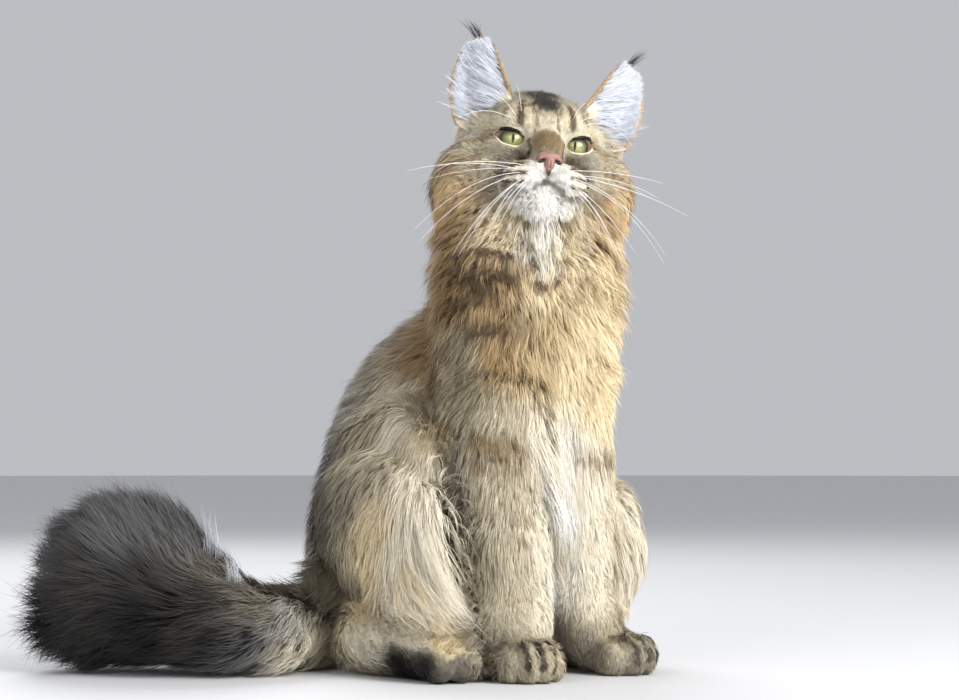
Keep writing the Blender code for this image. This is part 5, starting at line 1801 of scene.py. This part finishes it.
# Whiskers in the head's frame, outward on either side: root, way, length and droop
whiskers = [
    ((15, -73, -17.5), (1, -0.1, 0.02), 62, 10),
    ((17, -72, -20.5), (1, -0.12, -0.1), 78, 18),
    ((15, -74.5, -22.5), (0.9, -0.25, -0.22), 70, 22),
    ((19, -70, -23.5), (0.95, -0.1, -0.35), 66, 20),
    ((16, -73.5, -26.5), (0.75, -0.3, -0.5), 55, 18),
    ((19, -69, -28), (0.78, -0.2, -0.62), 50, 16),
    ((14, -74, -29.5), (0.5, -0.35, -0.8), 38, 12),
    ((21, -66.5, -31), (0.6, -0.2, -0.8), 36, 10),
    ((12, -75, -26), (0.62, -0.45, -0.55), 44, 14),
    ((20.5, -68, -19), (1, 0.05, -0.05), 55, 10),
    ((20, -44, 23), (0.75, -0.45, 0.65), 45, 20),
    ((23, -43, 22), (0.95, -0.3, 0.4), 42, 18),
    ((17, -45, 24), (0.25, -0.4, 0.95), 34, 12),
    ((46, -26, -8), (0.9, -0.35, -0.1), 30, 8),
]


def growWhiskers():
    paths, radii = [], []
    for side in (-1, 1):
        for root, way, length, droop in whiskers:
            way = unit(np.array(way) + rng.normal(0, 0.08, 3))
            path = []
            bend = rng.uniform(0.6, 1.7)
            for s in np.linspace(0, 1, 6):
                spot = np.array(root) / 1000 + way * (length / 1000) * s
                spot = spot + np.array((0, 0.3, -1)) * (droop / 1000) * bend * s ** 2.2
                path.append((side * spot[0], spot[1], spot[2]))
            path = toWorld(path, headFrame)
            # those that reach far forward are drawn back along the camera's line
            past = np.maximum(0, studio["whiskerLimit"] - path[:, 1])
            target = path[:, 1] + past - 0.008 * (1 - np.exp(-past / 0.008))
            eye = np.array(studio["camera"])
            path = eye + (path - eye) * ((target - eye[1]) / (path[:, 1] - eye[1]))[:, None]
            paths.append(path)
            radii.append(0.00016 if length > 40 else 0.00012)
    mesh = threadMesh("whiskerHairs", paths, radii, linear(246, 246, 248))
    newObject("whiskerHairs", mesh, whiskerMaterial)


# Floor, light and camera
studio = {
    "lens": 86.6,
    "camera": (-0.9675, -1.2834, 0.15),
    "heading": 40.0,
    "pitch": 2.56,
    "key": ((0.30, -1.90, 1.15), 1.3, 60),
    "whiskerLimit": -0.184,
    "fill": ((-1.90, -0.60, 0.90), 1.6, 14),
    "rim": ((0.60, 1.60, 1.60), 1.4, 24),
    "world": 0.54,
}


def addLight(name, spot, size, power):
    lamp = bpy.data.lights.new(name, "AREA")
    lamp.shape = "DISK"
    lamp.size = size
    lamp.energy = power
    light = bpy.data.objects.new(name, lamp)
    light.location = spot
    light.rotation_euler = (Vector((0, 0, 0.22)) - Vector(spot)).to_track_quat("-Z", "Y").to_euler()
    bpy.context.scene.collection.objects.link(light)


def makeStudio():
    scene = bpy.context.scene
    bm = bmesh.new()
    bmesh.ops.create_circle(bm, cap_ends=True, segments=64, radius=14)
    mesh = meshFrom(bm, "floor")
    floor = bpy.data.objects.new("floor", mesh)
    scene.collection.objects.link(floor)
    made, nodes, links, shader = newMaterial("paleFloor")
    noise = nodes.new("ShaderNodeTexNoise")
    setInputs(noise, {"Scale": 3})
    ramp = nodes.new("ShaderNodeMapRange")
    setInputs(ramp, {"To Min": 0.60, "To Max": 0.66})
    where = nodes.new("ShaderNodeTexCoord")
    links.new(where.outputs["Object"], noise.inputs["Vector"])
    links.new(noise.outputs["Fac"], ramp.inputs["Value"])
    links.new(ramp.outputs["Result"], shader.inputs["Roughness"])
    setInputs(shader, {"Base Color": (0.66, 0.66, 0.67, 1)})
    mesh.materials.append(made)
    for name in ("key", "fill", "rim"):
        addLight(name + "Light", *studio[name])
    world = bpy.data.worlds.new("studio")
    scene.world = world
    world.use_nodes = True
    background = world.node_tree.nodes["Background"]
    setInputs(background, {"Color": (0.93, 0.95, 1.0, 1), "Strength": studio["world"]})
    lens = bpy.data.cameras.new("camera")
    lens.lens = studio["lens"]
    lens.sensor_width = 36
    lens.clip_start = 0.05
    camera = bpy.data.objects.new("camera", lens)
    camera.location = studio["camera"]
    camera.rotation_euler = (math.radians(90 + studio["pitch"]), 0, math.radians(-studio["heading"]))
    scene.collection.objects.link(camera)
    scene.camera = camera
    scene.view_settings.view_transform = "Standard"
    scene.view_settings.look = "None"


makeStudio()
print("studio ready")
eyeGloss = eyeMaterial()
skin = makeSkin()
fleshNodes = [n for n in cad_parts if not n.startswith("eye") and n != "nose"]
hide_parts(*fleshNodes)
surface = Surface(skin)

print("coat depth measured, up to", round(float(surface.depth.max()), 4))
paint(skin.data, skinTints(surface))
growMarkAndShadeTufts(surface, growCoat(surface))
growLocks(surface)
growEarHair(surface)
for side, word in ((-1, "Right"), (1, "Left")):
    makeEye(side, word)
    makeLids(side, word)
makeNose()
growWhiskers()
print("coat, eyes, nose and whiskers ready")
